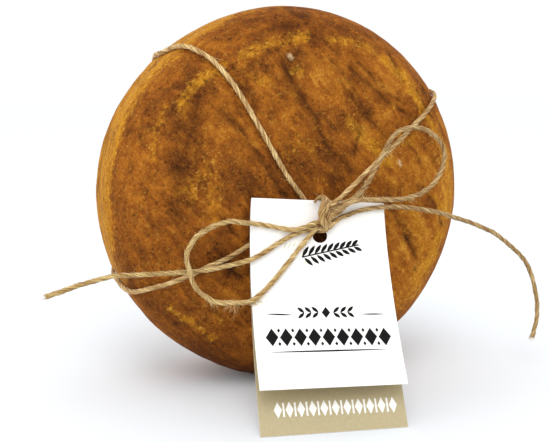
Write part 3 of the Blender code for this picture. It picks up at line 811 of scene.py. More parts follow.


# The cheese: a pressed wheel of stretched curd, smoked or oiled to a mottled golden brown. Its rind has
# creases from the cloth, fine pits and stains, is rubbed yellow where it stands proud, and gives under the
# twine. The face is marked place by place, and the back is marked by chance in the same manner. Painted shade
# darkens the rind low on the wheel, in part along the top of the rim, and behind the tag's hole, and painted
# light brightens in part the left of the rim and its right front edge.
RIND_CUTS = 127
FINE_DENTS = ((9.0 * MM, 0.16 * MM), (4.2 * MM, 0.07 * MM))
RIM_CREASE_SPACING = 3.4 * MM
RIM_CREASE_DEPTH = 0.22 * MM
RIM_CREASE_TURNS = 1.6
TWINE_FURROW_REACH = 3.2 * MM
TWINE_FURROW_DEPTH = 0.5 * MM
FURROW_STEEPNESS = 1.6
SWELLING_AWAY = 1.9 * TWINE_FURROW_REACH
SWELLING_BESIDE = 0.35
CRUMB_EDGE = 1.6
CRUMB_HEIGHT = 0.5 * MM
LINE_STEP = 9 * MM
LINE_LEAN = (0.5, 0.5)
LINE_WANDER = 0.25
CREASE_SCALE = 0.8
# On the back: how many there are, and from and to which half width or radius, depth or strength
BACK_CREASES, CREASE_WIDTHS, CREASE_DEPTHS = 46, (1.2, 2.8), (0.3, 0.8)
BACK_RUBS, RUB_WIDTHS, RUB_STRENGTHS = 22, (3, 6), (0.3, 0.8)
BACK_STAINS, STAIN_RADII, STAIN_STRENGTHS = 40, (1.5, 8), (0.3, 0.9)
COMBED_LEAN = math.radians(48)

# Places on the front, in millimetres right of and above the wheel's middle: the line of each crease with
# its half width and its depth
CREASES = (
    (((-53, 54), (-42, 43), (-32, 30), (-24, 18), (-18, 6)), 2.6, 0.9),
    (((-16, 79), (-12, 72), (-5, 62), (4, 49), (10, 35), (20, 24), (27, 17)), 3.0, 1.0),
    (((12, 84), (16, 79), (23, 72), (30, 64), (34, 55)), 1.8, 0.6),
    (((26, 78), (36, 70), (44, 64), (50, 59), (59, 53), (66, 50)), 2.4, 1.0),
    (((31, 81), (41, 73), (50, 64), (60, 58)), 1.4, 0.7),
    (((20, 70), (27, 62), (33, 52), (42, 45), (50, 37)), 1.6, 0.6),
    (((56, 88), (59, 79), (63, 70)), 1.6, 0.7),
    (((80, 68), (85, 57), (92, 45), (97, 34)), 2.0, 0.5),
    (((74, 66), (79, 56), (86, 46)), 1.6, 0.4),
    (((54, -5), (60, -14), (67, -27), (72, -37)), 2.8, 0.9),
    (((74, 7), (82, -2), (88, -10), (93, -20)), 2.0, 0.6),
    (((-39, 69), (-35, 60), (-33, 50)), 1.8, 0.4),
    (((-66, 63), (-68, 52), (-74, 33), (-79, 13), (-80, -4)), 6.5, 0.4),
    (((-54, -32), (-48, -37), (-42, -43)), 2.2, 1.1),
    (((-43, -31), (-48, -37), (-52, -45)), 1.6, 0.8),
    (((-57, -5), (-51, -9), (-48, -15), (-44, -18)), 1.1, 0.7),
    (((62, 34), (70, 28), (74, 20)), 1.7, 0.5),
    (((-20, 88), (-28, 84), (-38, 78), (-48, 70)), 2.0, 0.4),
    (((34, 42), (30, 33), (29, 24)), 2.4, 0.6),
    (((-62, -58), (-52, -66), (-40, -72)), 2.4, 0.5),
)
# Where the rind has rubbed yellow, in the same way: line, half width, strength
RUBBED = (
    (((-77, 55), (-70, 67), (-60, 74), (-52, 80)), 4.0, 0.8),
    (((-40, 85), (-35, 87), (-23, 92), (-10, 95), (0, 96)), 4.0, 0.65),
    (((16, 94), (21, 94), (29, 93), (38, 92), (45, 88)), 3.6, 0.6),
    (((51, 83), (58, 78), (65, 72), (75, 59), (80, 48), (88, 38)), 4.6, 0.8),
    (((26, 46), (36, 35), (45, 29), (52, 22)), 4.6, 0.85),
    (((68, 65), (72, 60), (76, 55)), 3.4, 0.9), (((82, 44), (86, 40), (90, 36)), 2.6, 0.8),
    (((97, 22), (99, 14), (100, 7)), 2.4, 0.8), (((86, -1), (88, -4), (91, -8)), 2.4, 0.8),
    (((-81, 81), (-77, 84), (-74, 86)), 5.0, 0.9),
    (((-37, 72), (-32, 71), (-26, 71)), 5.0, 0.4),
    (((-12, 75), (-9, 77), (-5, 76)), 1.6, 1.0),
    (((-10, 66), (-2, 56), (6, 46)), 4.6, 0.2),
    (((-78, 10), (-66, 16), (-72, 4)), 4.0, 0.55),
    (((-60, 26), (-62, 14), (-58, 2), (-60, -8)), 5.0, 0.4),
    (((-83, -60), (-75, -66), (-66, -72), (-58, -80)), 2.8, 0.6),
    (((-70, -52), (-62, -60), (-52, -70)), 2.6, 0.4),
    (((60, 40), (68, 34)), 4.0, 0.4),
    (((92, 30), (97, 18), (99, 4), (98, -10), (94, -24), (88, -38), (78, -54)), 7.5, 0.8),
    (((62, -2), (70, -12), (76, -24), (78, -36)), 5.5, 0.45),
    (((4, 30), (-6, 36), (-14, 30)), 5.0, 0.35),
    (((-92, 30), (-90, 44), (-84, 56)), 3.2, 0.45),
)
# Bands of the rim rubbed yellow: from and to which angle round the wheel, millimetres behind its middle line, half
# width, strength. Those on the left of the rim and the one on its right front edge are partly rubbed yellow and
# partly painted light on the rim's edges
RIM_RUBBED_AND_LIT = ((116, 188, 5, 28.0, 1.0), (98, 118, 5, 28.0, 0.45), (190, 200, 5, 28.0, 0.5),
              (-42, 26, -27, 7.0, 0.65), (-70, 60, 24, 8.0, 0.4), (150, 192, 33, 7.0, 0.3))
# Broad places where the rind is paler or darker: place, radius, strength. Most are the smoke's colour; those
# along the top of the rim are partly smoke colour and partly painted shade, and those low on the wheel and the
# one behind the tag's hole are painted shade
TONES_AND_SHADE = (
    # Along the top of the rim: partly smoke colour, partly painted shade
    ((-38, 97), 14, -0.3), ((-18, 101), 16, -0.6), ((3, 101), 17, -0.75), ((25, 98), 16, -0.5),
    # Low on the wheel: painted shade
    ((-69, -85), 16, -0.6), ((-52, -99), 18, -1.0), ((-35, -108), 20, -1.0), ((-49, -77), 15, -0.5),
    ((-64, -19), 12, -0.35), ((-52, -32), 14, -0.4), ((-44, -17), 10, -0.5), ((-48, 9), 12, -0.45),
    ((4, 30), 13, -0.3), ((13, 21), 14, -0.25), ((25, 12), 13, -0.35), ((-6, 17), 14, -0.45),
    ((-22, 12), 14, -0.35), ((63, 29), 10, 0.35), ((77, 18), 11, 1.0), ((60, 7), 12, 0.4),
    ((61, -30), 14, 0.35), ((73, -47), 12, 0.3), ((83, -29), 12, 0.4), ((8, 73), 11, 0.7),
    ((12, 62), 9, 0.5), ((33, 38), 9, 0.55), ((-55, 46), 12, 0.4), ((-51, 33), 10, 0.35),
    ((-40, 74), 12, -0.3), ((-66, 63), 8, -0.4), ((-68, 54), 8, -0.45), ((-73, 40), 9, -0.45),
    ((-78, 23), 10, -0.4), ((-80, 4), 10, -0.4), ((45, 52), 10, 0.25), ((95, 18), 12, 0.3),
    ((97, -10), 12, 0.6), ((-92, -8), 14, -0.25), ((-62, 12), 8, 0.35), ((38, 60), 7, -0.3),
    ((-82, 60), 16, -0.65), ((-103, -42), 14, -0.4), ((-92, -66), 14, -0.5), ((68, -66), 12, 0.5),
    ((80, -56), 12, 0.5), ((-74, 69), 9, -0.25), ((6, 54), 12, -0.25), ((-80, -63), 15, -0.5),
    # The last, behind the tag's hole: painted shade
    ((99, 8), 14, 0.7), ((93, 42), 10, 0.5), ((42, 74), 12, 0.4), ((7, -22), 11, -1.0),
)
# Dark stains, and painted shade in the last two, behind the tag's hole and low on the wheel: place, radius,
# strength
STAINS_AND_SHADE = (
    ((-48, -37), 5.0, 1.0), ((-44, -42), 3.2, 0.8), ((-53, -33), 3.0, 0.7), ((22, 50), 4.6, 0.7),
    ((28, 44), 6.0, 0.55), ((38, 52), 3.4, 0.9), ((15, 44), 4.0, 0.5), ((-46, 22), 7.0, 0.4),
    ((-40, 14), 6.0, 0.45), ((-52, 12), 5.0, 0.35), ((66, -26), 3.4, 0.9), ((73, -46), 2.0, 0.9),
    ((-12, 83), 4.2, 1.0), ((-9, 77), 2.8, 0.9), ((-26, 78), 1.6, 0.8), ((12, 30), 9.0, 0.4),
    ((0, 22), 10.0, 0.45), ((-12, 12), 10.0, 0.4), ((20, 16), 8.0, 0.4), ((-78, 26), 9.0, 0.45),
    ((-74, 46), 8.0, 0.4), ((-80, 4), 7.0, 0.35), ((-66, 34), 6.0, 0.3), ((58, 62), 1.8, 0.8),
    ((80, 64), 1.8, 0.8), ((-65, 36), 1.8, 0.8), ((-46, 78), 1.5, 0.8), ((-56, 10), 1.4, 0.9),
    # Painted shade: behind the tag's hole, and low on the wheel
    ((7, -22), 10.0, 1.0), ((-50, -98), 17.0, 0.35),
)
# Pale crumbs of dried salt: place and radius
CRUMBS = (((-12.4, 84.6), 1.1), ((-11.0, 83.2), 0.8), ((59.4, 21.6), 1.0), ((60.2, 19.6), 0.7))
HALF_RUN = FACE_RADIUS + EDGE_RADIUS * math.pi / 2 + RIM_HALF
BACK_RUNS = (HALF_RUN * 1.05, HALF_RUN * 1.95)


def rind_place(turn, run):
    """Points and outward ways of the turned form: angle round the axis, length from the front's middle."""
    turn, run = np.broadcast_arrays(np.asarray(turn, float), np.asarray(run, float))
    short = np.minimum(run, 2 * HALF_RUN - run)
    side = np.where(run <= HALF_RUN, -1.0, 1.0)
    bend = np.clip((short - FACE_RADIUS) / EDGE_RADIUS, 0, math.pi / 2)
    past = np.maximum(short - FACE_RADIUS - EDGE_RADIUS * math.pi / 2, 0)
    radius = np.minimum(short, FACE_RADIUS) + EDGE_RADIUS * np.sin(bend)
    y = side * (RIM_HALF + EDGE_RADIUS * np.cos(bend) - past)
    points = np.stack([radius * np.cos(turn), y, radius * np.sin(turn) + WHEEL_CENTRE], axis=-1)
    ways = np.stack([np.sin(bend) * np.cos(turn), side * np.cos(bend), np.sin(bend) * np.sin(turn)], axis=-1)
    return points, ways


def on_front(places):
    """Points of the front half of the rind, given in millimetres right of and above the wheel's middle."""
    places = np.array(places, float) * MM
    radius = np.hypot(places[:, 0], places[:, 1])
    bend = np.arcsin(np.clip((radius - FACE_RADIUS) / EDGE_RADIUS, 0, 1))
    run = np.where(radius < FACE_RADIUS, radius, FACE_RADIUS + EDGE_RADIUS * bend)
    return rind_place(np.arctan2(places[:, 1], places[:, 0]), run)[0]


def away_from_line(points, ways, line):
    """Each point's distance from a line of straight pieces, and the same with a minus on one side of it."""
    nearest = np.full(len(points), 1.0)
    signed = nearest.copy()
    for a, b in zip(line[:-1], line[1:]):
        step = b - a
        share = np.clip(((points - a) @ step) / max(step @ step, 1e-12), 0, 1)
        away = norms(points - a - share[:, None] * step)
        side = np.sign((np.cross(step, points - a) * ways).sum(axis=1))
        signed = np.where(away < nearest, side * away, signed)
        nearest = np.minimum(nearest, away)
    return nearest, signed


def random_lines(chance, count, runs):
    """Short crooked lines, all leaning the same way, on the part of the rind that the runs bound."""
    for _ in range(count):
        turn, run = chance.uniform(0, math.tau), chance.uniform(*runs)
        lean = chance.gauss(*LINE_LEAN)
        turns, lengths = [turn], [run]
        for _ in range(chance.randint(2, 5)):
            lean += chance.gauss(0, LINE_WANDER)
            turns.append(turns[-1] + LINE_STEP * math.cos(lean) / (60 * MM))
            lengths.append(min(lengths[-1] + LINE_STEP * math.sin(lean), 2 * HALF_RUN - 4 * MM))
        yield rind_place(turns, lengths)[0]


cube = bmesh.new()
bmesh.ops.create_cube(cube, size=2.0)
bmesh.ops.subdivide_edges(cube, edges=cube.edges, cuts=RIND_CUTS, use_grid_fill=True)
rind_mesh = mesh_from("provolone", cube)
ways = np.zeros(len(rind_mesh.vertices) * 3)
rind_mesh.vertices.foreach_get("co", ways)
ways = np.tan(ways.reshape(-1, 3) * math.pi / 4)
ways /= norms(ways)[:, None]
turn = np.arctan2(ways[:, 2], ways[:, 0])
run = np.arccos(np.clip(-ways[:, 1], -1, 1)) / (math.pi / 2) * HALF_RUN
rind_points, rind_ways = rind_place(turn, run)


def around(place, radius):
    """1 at a place on the rind, and less at each point of the rind farther off than its radius."""
    return np.exp(-(norms(rind_points - place) / (radius * MM)) ** 2)


creased, crease_depth, rubbed, stained, crumbs = np.zeros((5, len(rind_points)))
seam = np.full(len(rind_points), 1.0)
toned = np.full(len(rind_points), 0.5)
chance = random.Random(11)
lines = [(on_front(smooth_curve(line, parts=3)), width, depth) for line, width, depth in CREASES]
lines += [(smooth_curve(line, parts=3), chance.uniform(*CREASE_WIDTHS), chance.uniform(*CREASE_DEPTHS))
          for line in random_lines(chance, BACK_CREASES, BACK_RUNS)]
for line, width, depth in lines:
    away, signed = away_from_line(rind_points, rind_ways, line)
    mark = np.exp(-(away / (width * MM)) ** 2)
    strength = mark * min(1.0, depth + 0.2)
    seam = np.where(strength > creased, signed, seam)
    creased = np.maximum(creased, strength)
    crease_depth = np.maximum(crease_depth, mark * depth * CREASE_SCALE * MM)
lines = [(on_front(line), width, strength) for line, width, strength in RUBBED]
lines += [(line, chance.uniform(*RUB_WIDTHS), chance.uniform(*RUB_STRENGTHS))
          for line in random_lines(chance, BACK_RUBS, (HALF_RUN * 1.1, HALF_RUN * 1.9))]
for line, width, strength in lines:
    mark = np.exp(-(away_from_line(rind_points, rind_ways, line)[0] / (width * MM)) ** 2)
    rubbed = np.maximum(rubbed, mark * strength)
for first, last, behind, width, strength in RIM_RUBBED_AND_LIT:
    turns = np.radians(np.linspace(first, last, 24))
    away = away_from_line(rind_points, rind_ways, rind_place(turns, HALF_RUN + behind * MM)[0])[0]
    rubbed = np.maximum(rubbed, np.exp(-(away / (width * MM)) ** 10) * strength)
for place, radius, strength in TONES_AND_SHADE:
    toned += 0.5 * strength * around(on_front([place])[0], radius)
for place, radius, strength in STAINS_AND_SHADE:
    stained = np.maximum(stained, around(on_front([place])[0], radius) * strength)
for _ in range(BACK_STAINS):
    place = rind_place(chance.uniform(0, math.tau), chance.uniform(*BACK_RUNS))[0]
    mark = around(place, chance.uniform(*STAIN_RADII)) * chance.uniform(*STAIN_STRENGTHS)
    stained = np.maximum(stained, mark)
for place, radius in CRUMBS:
    away = norms(rind_points - on_front([place])[0])
    crumbs = np.maximum(crumbs, np.clip(CRUMB_EDGE - away / (radius * MM), 0, 1))

wraps = np.vstack([twine_lines["first_wrap"], twine_lines["second_wrap"]])
tree_of_twine = kdtree.KDTree(len(wraps))
for index, place in enumerate(wraps):
    tree_of_twine.insert(place, index)
tree_of_twine.balance()
rim_share = np.clip((np.minimum(run, 2 * HALF_RUN - run) - FACE_RADIUS) / (HALF_RUN - FACE_RADIUS), 0, 1)
settled = []
for n, (place, way) in enumerate(zip(rind_points, rind_ways)):
    spot = Vector(place)
    depth = rind_depth(spot) + crease_depth[n]
    for spacing, height in FINE_DENTS:
        depth += height * noise.noise(spot / spacing)
    slow = Vector((math.cos(turn[n]), math.sin(turn[n]), 0)) * RIM_CREASE_TURNS
    crease = noise.noise(slow + Vector((0, 0, run[n] / RIM_CREASE_SPACING)))
    depth += RIM_CREASE_DEPTH * rim_share[n] * max(0.0, crease)
    gap = tree_of_twine.find(spot)[2] - TWINE_RADIUS
    if gap < 4 * TWINE_FURROW_REACH:
        pressed = math.exp(-(gap / TWINE_FURROW_REACH * FURROW_STEEPNESS) ** 2)
        swollen = math.exp(-((gap - SWELLING_AWAY) / TWINE_FURROW_REACH) ** 2)
        depth += TWINE_FURROW_DEPTH * (pressed - SWELLING_BESIDE * swollen)
    depth -= CRUMB_HEIGHT * crumbs[n]
    moved = place - way * depth
    settled.append((moved[0], moved[1], max(moved[2], 0.0)))
rind_mesh.vertices.foreach_set("co", np.array(settled, np.float32).ravel())
rind_mesh.update()
wound = np.stack([np.cos(turn) * 0.03, np.sin(turn) * 0.03, run], axis=1)
marks = {"creased": creased, "seam": seam / MM, "rubbed": rubbed, "stained": stained, "crumbs": crumbs,
         "toned": np.clip(toned, 0, 1), "turned": wound, "rim": rim_share}
for name, values in marks.items():
    write_attribute(rind_mesh, name, values)

rind, tree, shader = new_material("smoked_rind")
place = object_place(tree)
cloud = grain(tree, place, 34.0, detail=3.0, roughness=0.5, distortion=0.3)
flame = grain(tree, place, 120.0, detail=6.0, roughness=0.6, distortion=0.25)
fine = grain(tree, place, 760.0, detail=4.0, roughness=0.7)
turned = attribute(tree, "turned", "Vector")
streak = grain(tree, turned, 260.0, detail=6.0, roughness=0.7, distortion=0.3)
along_creases = add_node(tree, "ShaderNodeMapping", {"Vector": place, "Rotation": (0.0, COMBED_LEAN, 0.0),
                                                     "Scale": (4.0, 1.0, 1.0)}, vector_type="TEXTURE")
combed = grain(tree, along_creases.outputs["Vector"], 220.0, detail=5.0, roughness=0.62, distortion=0.4)


def share_of(value):
    return (value, value, value, 1.0)


def weighted(tree, *pairs):
    """The sum of several values, each times its weight."""
    total = 0.0
    for value, weight in pairs:
        made = add_node(tree, "ShaderNodeMath", {0: value, 1: weight, 2: total}, operation="MULTIPLY_ADD")
        total = made.outputs["Value"]
    return total


def threshold(tree, value, low, high):
    """0 below the low value and 1 above the high one; the other way round where low is above high."""
    return ramp(tree, value, sorted(((low, share_of(0)), (high, share_of(1)))))


# Smoke: brown where the rind is thick with it, orange and gold where it is thin, in combs and clouds, with
# painted shade low on the wheel, along the top of the rim and behind the tag's hole
# rub: rubbed yellow, and partly painted light on the left of the rim and its right front edge
rim, smoke_and_shade, rub, crease, stain_and_shade, salt = [attribute(tree, name) for name in (
    "rim", "toned", "rubbed", "creased", "stained", "crumbs")]
on_flat = weighted(tree, (cloud, 0.22), (flame, 0.40), (combed, 0.38))
on_rim = weighted(tree, (cloud, 0.22), (flame, 0.30), (streak, 0.48))
tone = add_node(tree, "ShaderNodeMix", {0: rim, 2: on_flat, 3: on_rim}, data_type="FLOAT").outputs[0]
tone = weighted(tree, (tone, 1.0), (smoke_and_shade, 0.22), (1.0, -0.11))
colour = ramp(tree, tone, ((0.34, paint(88, 47, 20)), (0.42, paint(119, 67, 25)), (0.49, paint(145, 84, 29)),
                           (0.56, paint(169, 102, 34)), (0.66, paint(207, 146, 54))))

# Rubbed places, partly painted light on the rim's edges, golden glints and wisps, then what is darker: creases
# with a seam in them, stains, painted shade and specks
small = grain(tree, place, 420.0, detail=4.0, roughness=0.65)
rub_and_light_mask = threshold(tree, weighted(tree, (rub, 1.0), (flame, 1.1), (small, 1.3), (1.0, -1.2)), 0.22, 0.9)
rub_and_light_mask = reckon(tree, rub_and_light_mask, ramp(tree, on_rim, ((0.36, share_of(0.45)), (0.5, share_of(0.9)))))
gold = ramp(tree, streak, ((0.34, paint(163, 102, 24)), (0.62, paint(213, 151, 40))))
glints = reckon(tree, threshold(tree, small, 0.58, 0.64), weighted(tree, (rub, 0.7), (smoke_and_shade, 0.5)))
wisps = ramp(tree, grain(tree, place, 190.0, detail=4.0, roughness=0.6, distortion=0.9),
             ((0.46, share_of(0)), (0.49, share_of(1)), (0.52, share_of(0))))
wisps = reckon(tree, wisps, weighted(tree, (rub, 0.45), (smoke_and_shade, 0.45)))
broad_mask = reckon(tree, crease, ramp(tree, combed, ((0.36, share_of(0.8)), (0.6, share_of(0.3)))))
from_seam = weighted(tree, (attribute(tree, "seam"), 0.7), (flame, 2.4), (1.0, -1.2))
from_seam = add_node(tree, "ShaderNodeMath", {0: from_seam}, operation="ABSOLUTE").outputs["Value"]
seam_mask = reckon(tree, threshold(tree, from_seam, 1.0, 0.1), threshold(tree, crease, 0.25, 0.9))
seam_mask = reckon(tree, seam_mask, threshold(tree, flame, 0.6, 0.42))
stain_and_shade_mask = reckon(tree, stain_and_shade, threshold(tree, fine, 0.7, 0.4))
specks = threshold(tree, grain(tree, place, 360.0, detail=3.0, roughness=0.6), 0.62, 0.68)
speck_mask = reckon(tree, specks, threshold(tree, smoke_and_shade, 0.75, 0.3))
for mask, over in ((rub_and_light_mask, gold), (glints, paint(222, 168, 72)), (wisps, paint(206, 146, 54)),
                   (broad_mask, paint(92, 52, 22)), (reckon(tree, seam_mask, 0.7), paint(76, 42, 20)),
                   (stain_and_shade_mask, paint(58, 36, 19)), (reckon(tree, speck_mask, 0.7), paint(62, 38, 18))):
    colour = blend_colours(tree, mask, colour, over)
grime = ramp(tree, fine, ((0.32, paint(184, 164, 136)), (0.62, paint(255, 255, 255))))
colour = blend_colours(tree, 0.7, colour, grime, "MULTIPLY")
curd = ramp(tree, fine, ((0.35, paint(150, 112, 70)), (0.65, paint(226, 200, 160))))
colour = blend_colours(tree, salt, colour, curd)

wrinkles = bump(tree, fine, 0.5, 0.4 * MM)
hollows = bump(tree, tone, 0.7, 0.8 * MM, Normal=wrinkles)
sunk = reckon(tree, speck_mask, seam_mask, "MAXIMUM")
dips = add_node(tree, "ShaderNodeBump", {"Height": sunk, "Strength": 0.8, "Distance": 0.4 * MM,
                                         "Normal": hollows}, invert=True)
gloss = ramp(tree, flame, ((0.3, share_of(0.58)), (0.7, share_of(0.72))))
set_inputs(tree, shader, {"Base Color": colour, "Roughness": gloss, "Specular IOR Level": 0.03,
                          "Normal": dips.outputs["Normal"]})

provolone = add_piece("provolone", rind_mesh, rind)
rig.ride(provolone, "root")
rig.replaces(provolone, "cheese_wheel")
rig.slot(provolone, "rind")


# The tag: a sheet of white card half a millimetre thick, folded over at the top so that its long back leaf
# shows below the front one, printed beige inside, and punched near the fold for the knot.
CARD_THICKNESS = 0.5 * MM
FOLD_GAP = 1.2 * MM
# The left and right ends of the fold and of each leaf's foot, and how far the leaves bow, in millimetres
FOLD = ((-37.6, -51.3, 118.0), (42.4, -59.8, 112.0))
FRONT_FOOT = ((-53.0, -107.2, 24.8), (26.1, -122.6, 23.7))
BACK_FOOT = ((-54.0, -110.8, 0.4), (25.3, -125.2, 0.4))
BOW_LEFT, BOW_RIGHT = 12.0, 5.0
BOW_DIRECTION = Vector((0.1, 0.83, -0.55)).normalized()
HOLE_RADIUS = 4.3 * MM
HOLE_ACROSS, HOLE_DOWN = 0.506, 0.174
BESIDE_HOLE = 0.02
CARD_COLUMNS, CARD_ROWS, FOLD_STEPS = 20, 48, 5
HOLE_FLARE = 2.4 * MM
PUNCH_DEPTH = 6 * MM
SHARP_ANGLE = math.radians(35)


def bow_shape(down):
    """How much the card bows back between the fold (0) and its foot (1), with its most near the fold."""
    return 3.4 * down ** 0.75 * (1 - down) ** 1.05


def leaf_point(across, down, foot, behind=0.0):
    """A point of a leaf in metres: across 0 to 1 from left to right, down 0 to 1 from fold to foot."""
    top = Vector(FOLD[0]).lerp(Vector(FOLD[1]), across)
    low = Vector(foot[0]).lerp(Vector(foot[1]), across)
    bow = BOW_LEFT + (BOW_RIGHT - BOW_LEFT) * across
    return (top.lerp(low, down) + BOW_DIRECTION * (bow * bow_shape(down))) * MM + BOW_DIRECTION * behind


def card_rows():
    """Rows of points from the front leaf's foot round the fold to the back leaf's foot, at mid thickness."""
    spacing = [(step / CARD_ROWS) ** 1.2 for step in range(CARD_ROWS + 1)]
    columns = [step / CARD_COLUMNS for step in range(CARD_COLUMNS + 1)]
    half = CARD_THICKNESS / 2
    rows = [[leaf_point(across, down, FRONT_FOOT, half) for across in columns] for down in reversed(spacing)]
    for step in range(1, FOLD_STEPS):
        angle = math.pi * step / FOLD_STEPS
        rise = Vector((0, 0, FOLD_GAP / 2 * math.sin(angle)))
        behind = half + FOLD_GAP / 2 * (1 - math.cos(angle))
        rows.append([leaf_point(across, 0, FRONT_FOOT, behind) + rise for across in columns])
    for down in spacing:
        behind = half + FOLD_GAP * (1 - down)
        rows.append([leaf_point(across, down, BACK_FOOT, behind) for across in columns])
    return rows


sheet = bmesh.new()
grid = [[sheet.verts.new(point) for point in row] for row in card_rows()]
for upper, lower in zip(grid[:-1], grid[1:]):
    for column in range(CARD_COLUMNS):
        sheet.faces.new((upper[column], upper[column + 1], lower[column + 1], lower[column]))
card_mesh = mesh_from("hang_tag_card", sheet)


def card_finish(name, pulp_scale, dark, light, roughness):
    """Smooth card, bare or printed over: one even colour with a faint grain of pulp."""
    made, tree, shader = new_material(name)
    pulp = grain(tree, object_place(tree), pulp_scale, detail=4.0, roughness=0.7)
    set_inputs(tree, shader, {"Base Color": ramp(tree, pulp, ((0.3, dark), (0.7, light))),
                              "Roughness": roughness, "Specular IOR Level": 0.3,
                              "Normal": bump(tree, pulp, 0.15, 0.05 * MM)})
    return made


white_card = card_finish("white_card", 900.0, paint(246, 244, 240), paint(254, 253, 250), 0.55)
beige_card = card_finish("beige_printed_card", 700.0, paint(174, 160, 124), paint(187, 173, 136), 0.5)
flat_card = add_piece("flat_card", card_mesh, white_card, beige_card)
shell = flat_card.modifiers.new("card", "SOLIDIFY")
shell.thickness = CARD_THICKNESS
shell.offset = 0.0
shell.material_offset = 1
centre = leaf_point(HOLE_ACROSS, HOLE_DOWN, FRONT_FOOT)
below = leaf_point(HOLE_ACROSS, HOLE_DOWN + BESIDE_HOLE, FRONT_FOOT)
beside = leaf_point(HOLE_ACROSS + BESIDE_HOLE, HOLE_DOWN, FRONT_FOOT)
facing = (beside - centre).cross(below - centre).normalized()
cone = bmesh.new()
bmesh.ops.create_cone(cone, cap_ends=True, segments=48, radius1=HOLE_RADIUS - HOLE_FLARE,
                      radius2=HOLE_RADIUS + HOLE_FLARE, depth=PUNCH_DEPTH)
punch = bpy.data.objects.new("punch", mesh_from("punch", cone))
scene.collection.objects.link(punch)
punch.matrix_world = Matrix.Translation(centre) @ facing.to_track_quat("Z", "X").to_matrix().to_4x4()
hole = flat_card.modifiers.new("hole", "BOOLEAN")
hole.operation = "DIFFERENCE"
hole.solver = "EXACT"
hole.object = punch
bpy.context.view_layer.update()
punched = bpy.data.meshes.new_from_object(flat_card.evaluated_get(bpy.context.evaluated_depsgraph_get()))
bpy.data.objects.remove(flat_card)
bpy.data.objects.remove(punch)
tag = bpy.data.objects.new("tag_card", punched)
scene.collection.objects.link(tag)
punched.shade_smooth()
punched.set_sharp_from_angle(angle=SHARP_ANGLE)
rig.ride(tag, "root")
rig.replaces(tag, "hang_tag")
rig.slot(tag, "card")


# The print on the tag: black ink on the front leaf, a row of lozenges between tapered rules under a leafy
# sprig, and on the beige leaf a row of white lozenges. Each mark is a thin film that follows the card.
INK_FILM = 0.05 * MM
MARK_STEPS = 14
LEAST_WIDTH = 0.012
# The leaves, and places on them from the top left corner, across and down, in millimetres
FRONT_WIDTH, FRONT_HEIGHT, BACK_HEIGHT = 80.8, 109.6, 131.7
RULES = (
    ((7.3, 64.9), (22.3, 66.1), 0.45), ((60.8, 67.3), (74.5, 67.8), 0.4), ((6.5, 87.8), (74.1, 89.0), 0.5),
)
# Rows of lozenges: how many, the first one's middle, the step to the next and its half width and height
BLACK_ROW = (9, (9.6, 79.0), (7.85, 0.3), (3.5, 5.4))
WHITE_ROW = (11, (10.6, 117.6), (6.35, 0.12), (2.2, 4.5))
SPRAY_MIDDLE = (41.0, 65.4)
SPRAY_PAIRS = 3
SPRIG_PAIRS = 9
SPRIG_FOOT = (30.0, 31.4)


def lens(share):
    return math.sin(math.pi * share) ** 0.8


def rule(share):
    rise = math.sin(math.pi * share)
    return min(1.0, 4 * rise) * (0.25 + 0.75 * rise)


def lozenge(share):
    return 1 - abs(2 * share - 1)


def bar(share):
    return 1.0


def mark(start, end, half_width, profile):
    """Pairs of edge points of one mark, in millimetres right of and below the leaf's top left corner."""
    start, end = np.array(start, float), np.array(end, float)
    along = end - start
    beside = np.array((-along[1], along[0])) / np.linalg.norm(along)
    pairs = []
    for step in range(MARK_STEPS + 1):
        share = step / MARK_STEPS
        spread = beside * half_width * max(profile(share), LEAST_WIDTH)
        pairs.append((start + along * share - spread, start + along * share + spread))
    return pairs


def print_marks(name, marks, foot, height, material):
    """One piece of all the marks of one ink on one leaf, each a closed film on the card's face."""
    body = bmesh.new()
    for pairs in marks:
        sections = []
        for pair in pairs:
            ring = []
            for lift, order in ((INK_FILM, (0, 1)), (-0.3 * INK_FILM, (1, 0))):
                for index in order:
                    across, down = pair[index][0] / FRONT_WIDTH, pair[index][1] / height
                    behind = FOLD_GAP * (1 - down) if foot is BACK_FOOT else 0.0
                    ring.append(body.verts.new(leaf_point(across, down, foot, behind - lift)))
            sections.append(ring)
        for here, there in zip(sections[:-1], sections[1:]):
            for k in range(4):
                body.faces.new((here[k], here[(k + 1) % 4], there[(k + 1) % 4], there[k]))
        body.faces.new(sections[0][::-1])
        body.faces.new(sections[-1])
    bmesh.ops.recalc_face_normals(body, faces=body.faces)
    mesh = mesh_from(name, body)
    piece = add_piece(name, mesh, material)
    mesh.set_sharp_from_angle(angle=SHARP_ANGLE)
    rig.ride(piece, "root")
    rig.slot(piece, "card")


def printing_ink(name, dark, light):
    made, tree, shader = new_material(name)
    rub = grain(tree, object_place(tree), 1400.0, detail=3.0, roughness=0.7)
    set_inputs(tree, shader, {"Base Color": ramp(tree, rub, ((0.45, dark), (0.72, light))), "Roughness": 0.5,
                              "Specular IOR Level": 0.1})
    return made


def row_of_lozenges(count, first, step, half_size, between):
    """Lozenges in a row, with upright marks between them: over, top, foot, half width and profile."""
    marks = []
    for place in range(count):
        x, y = first[0] + step[0] * place, first[1] + step[1] * place
        marks.append(mark((x - half_size[0], y), (x + half_size[0], y), half_size[1], lozenge))
        if place < count - 1:
            for over, top, foot, half_width, profile in between:
                marks.append(mark((x + over, y + top), (x + over, y + foot), half_width, profile))
    return marks


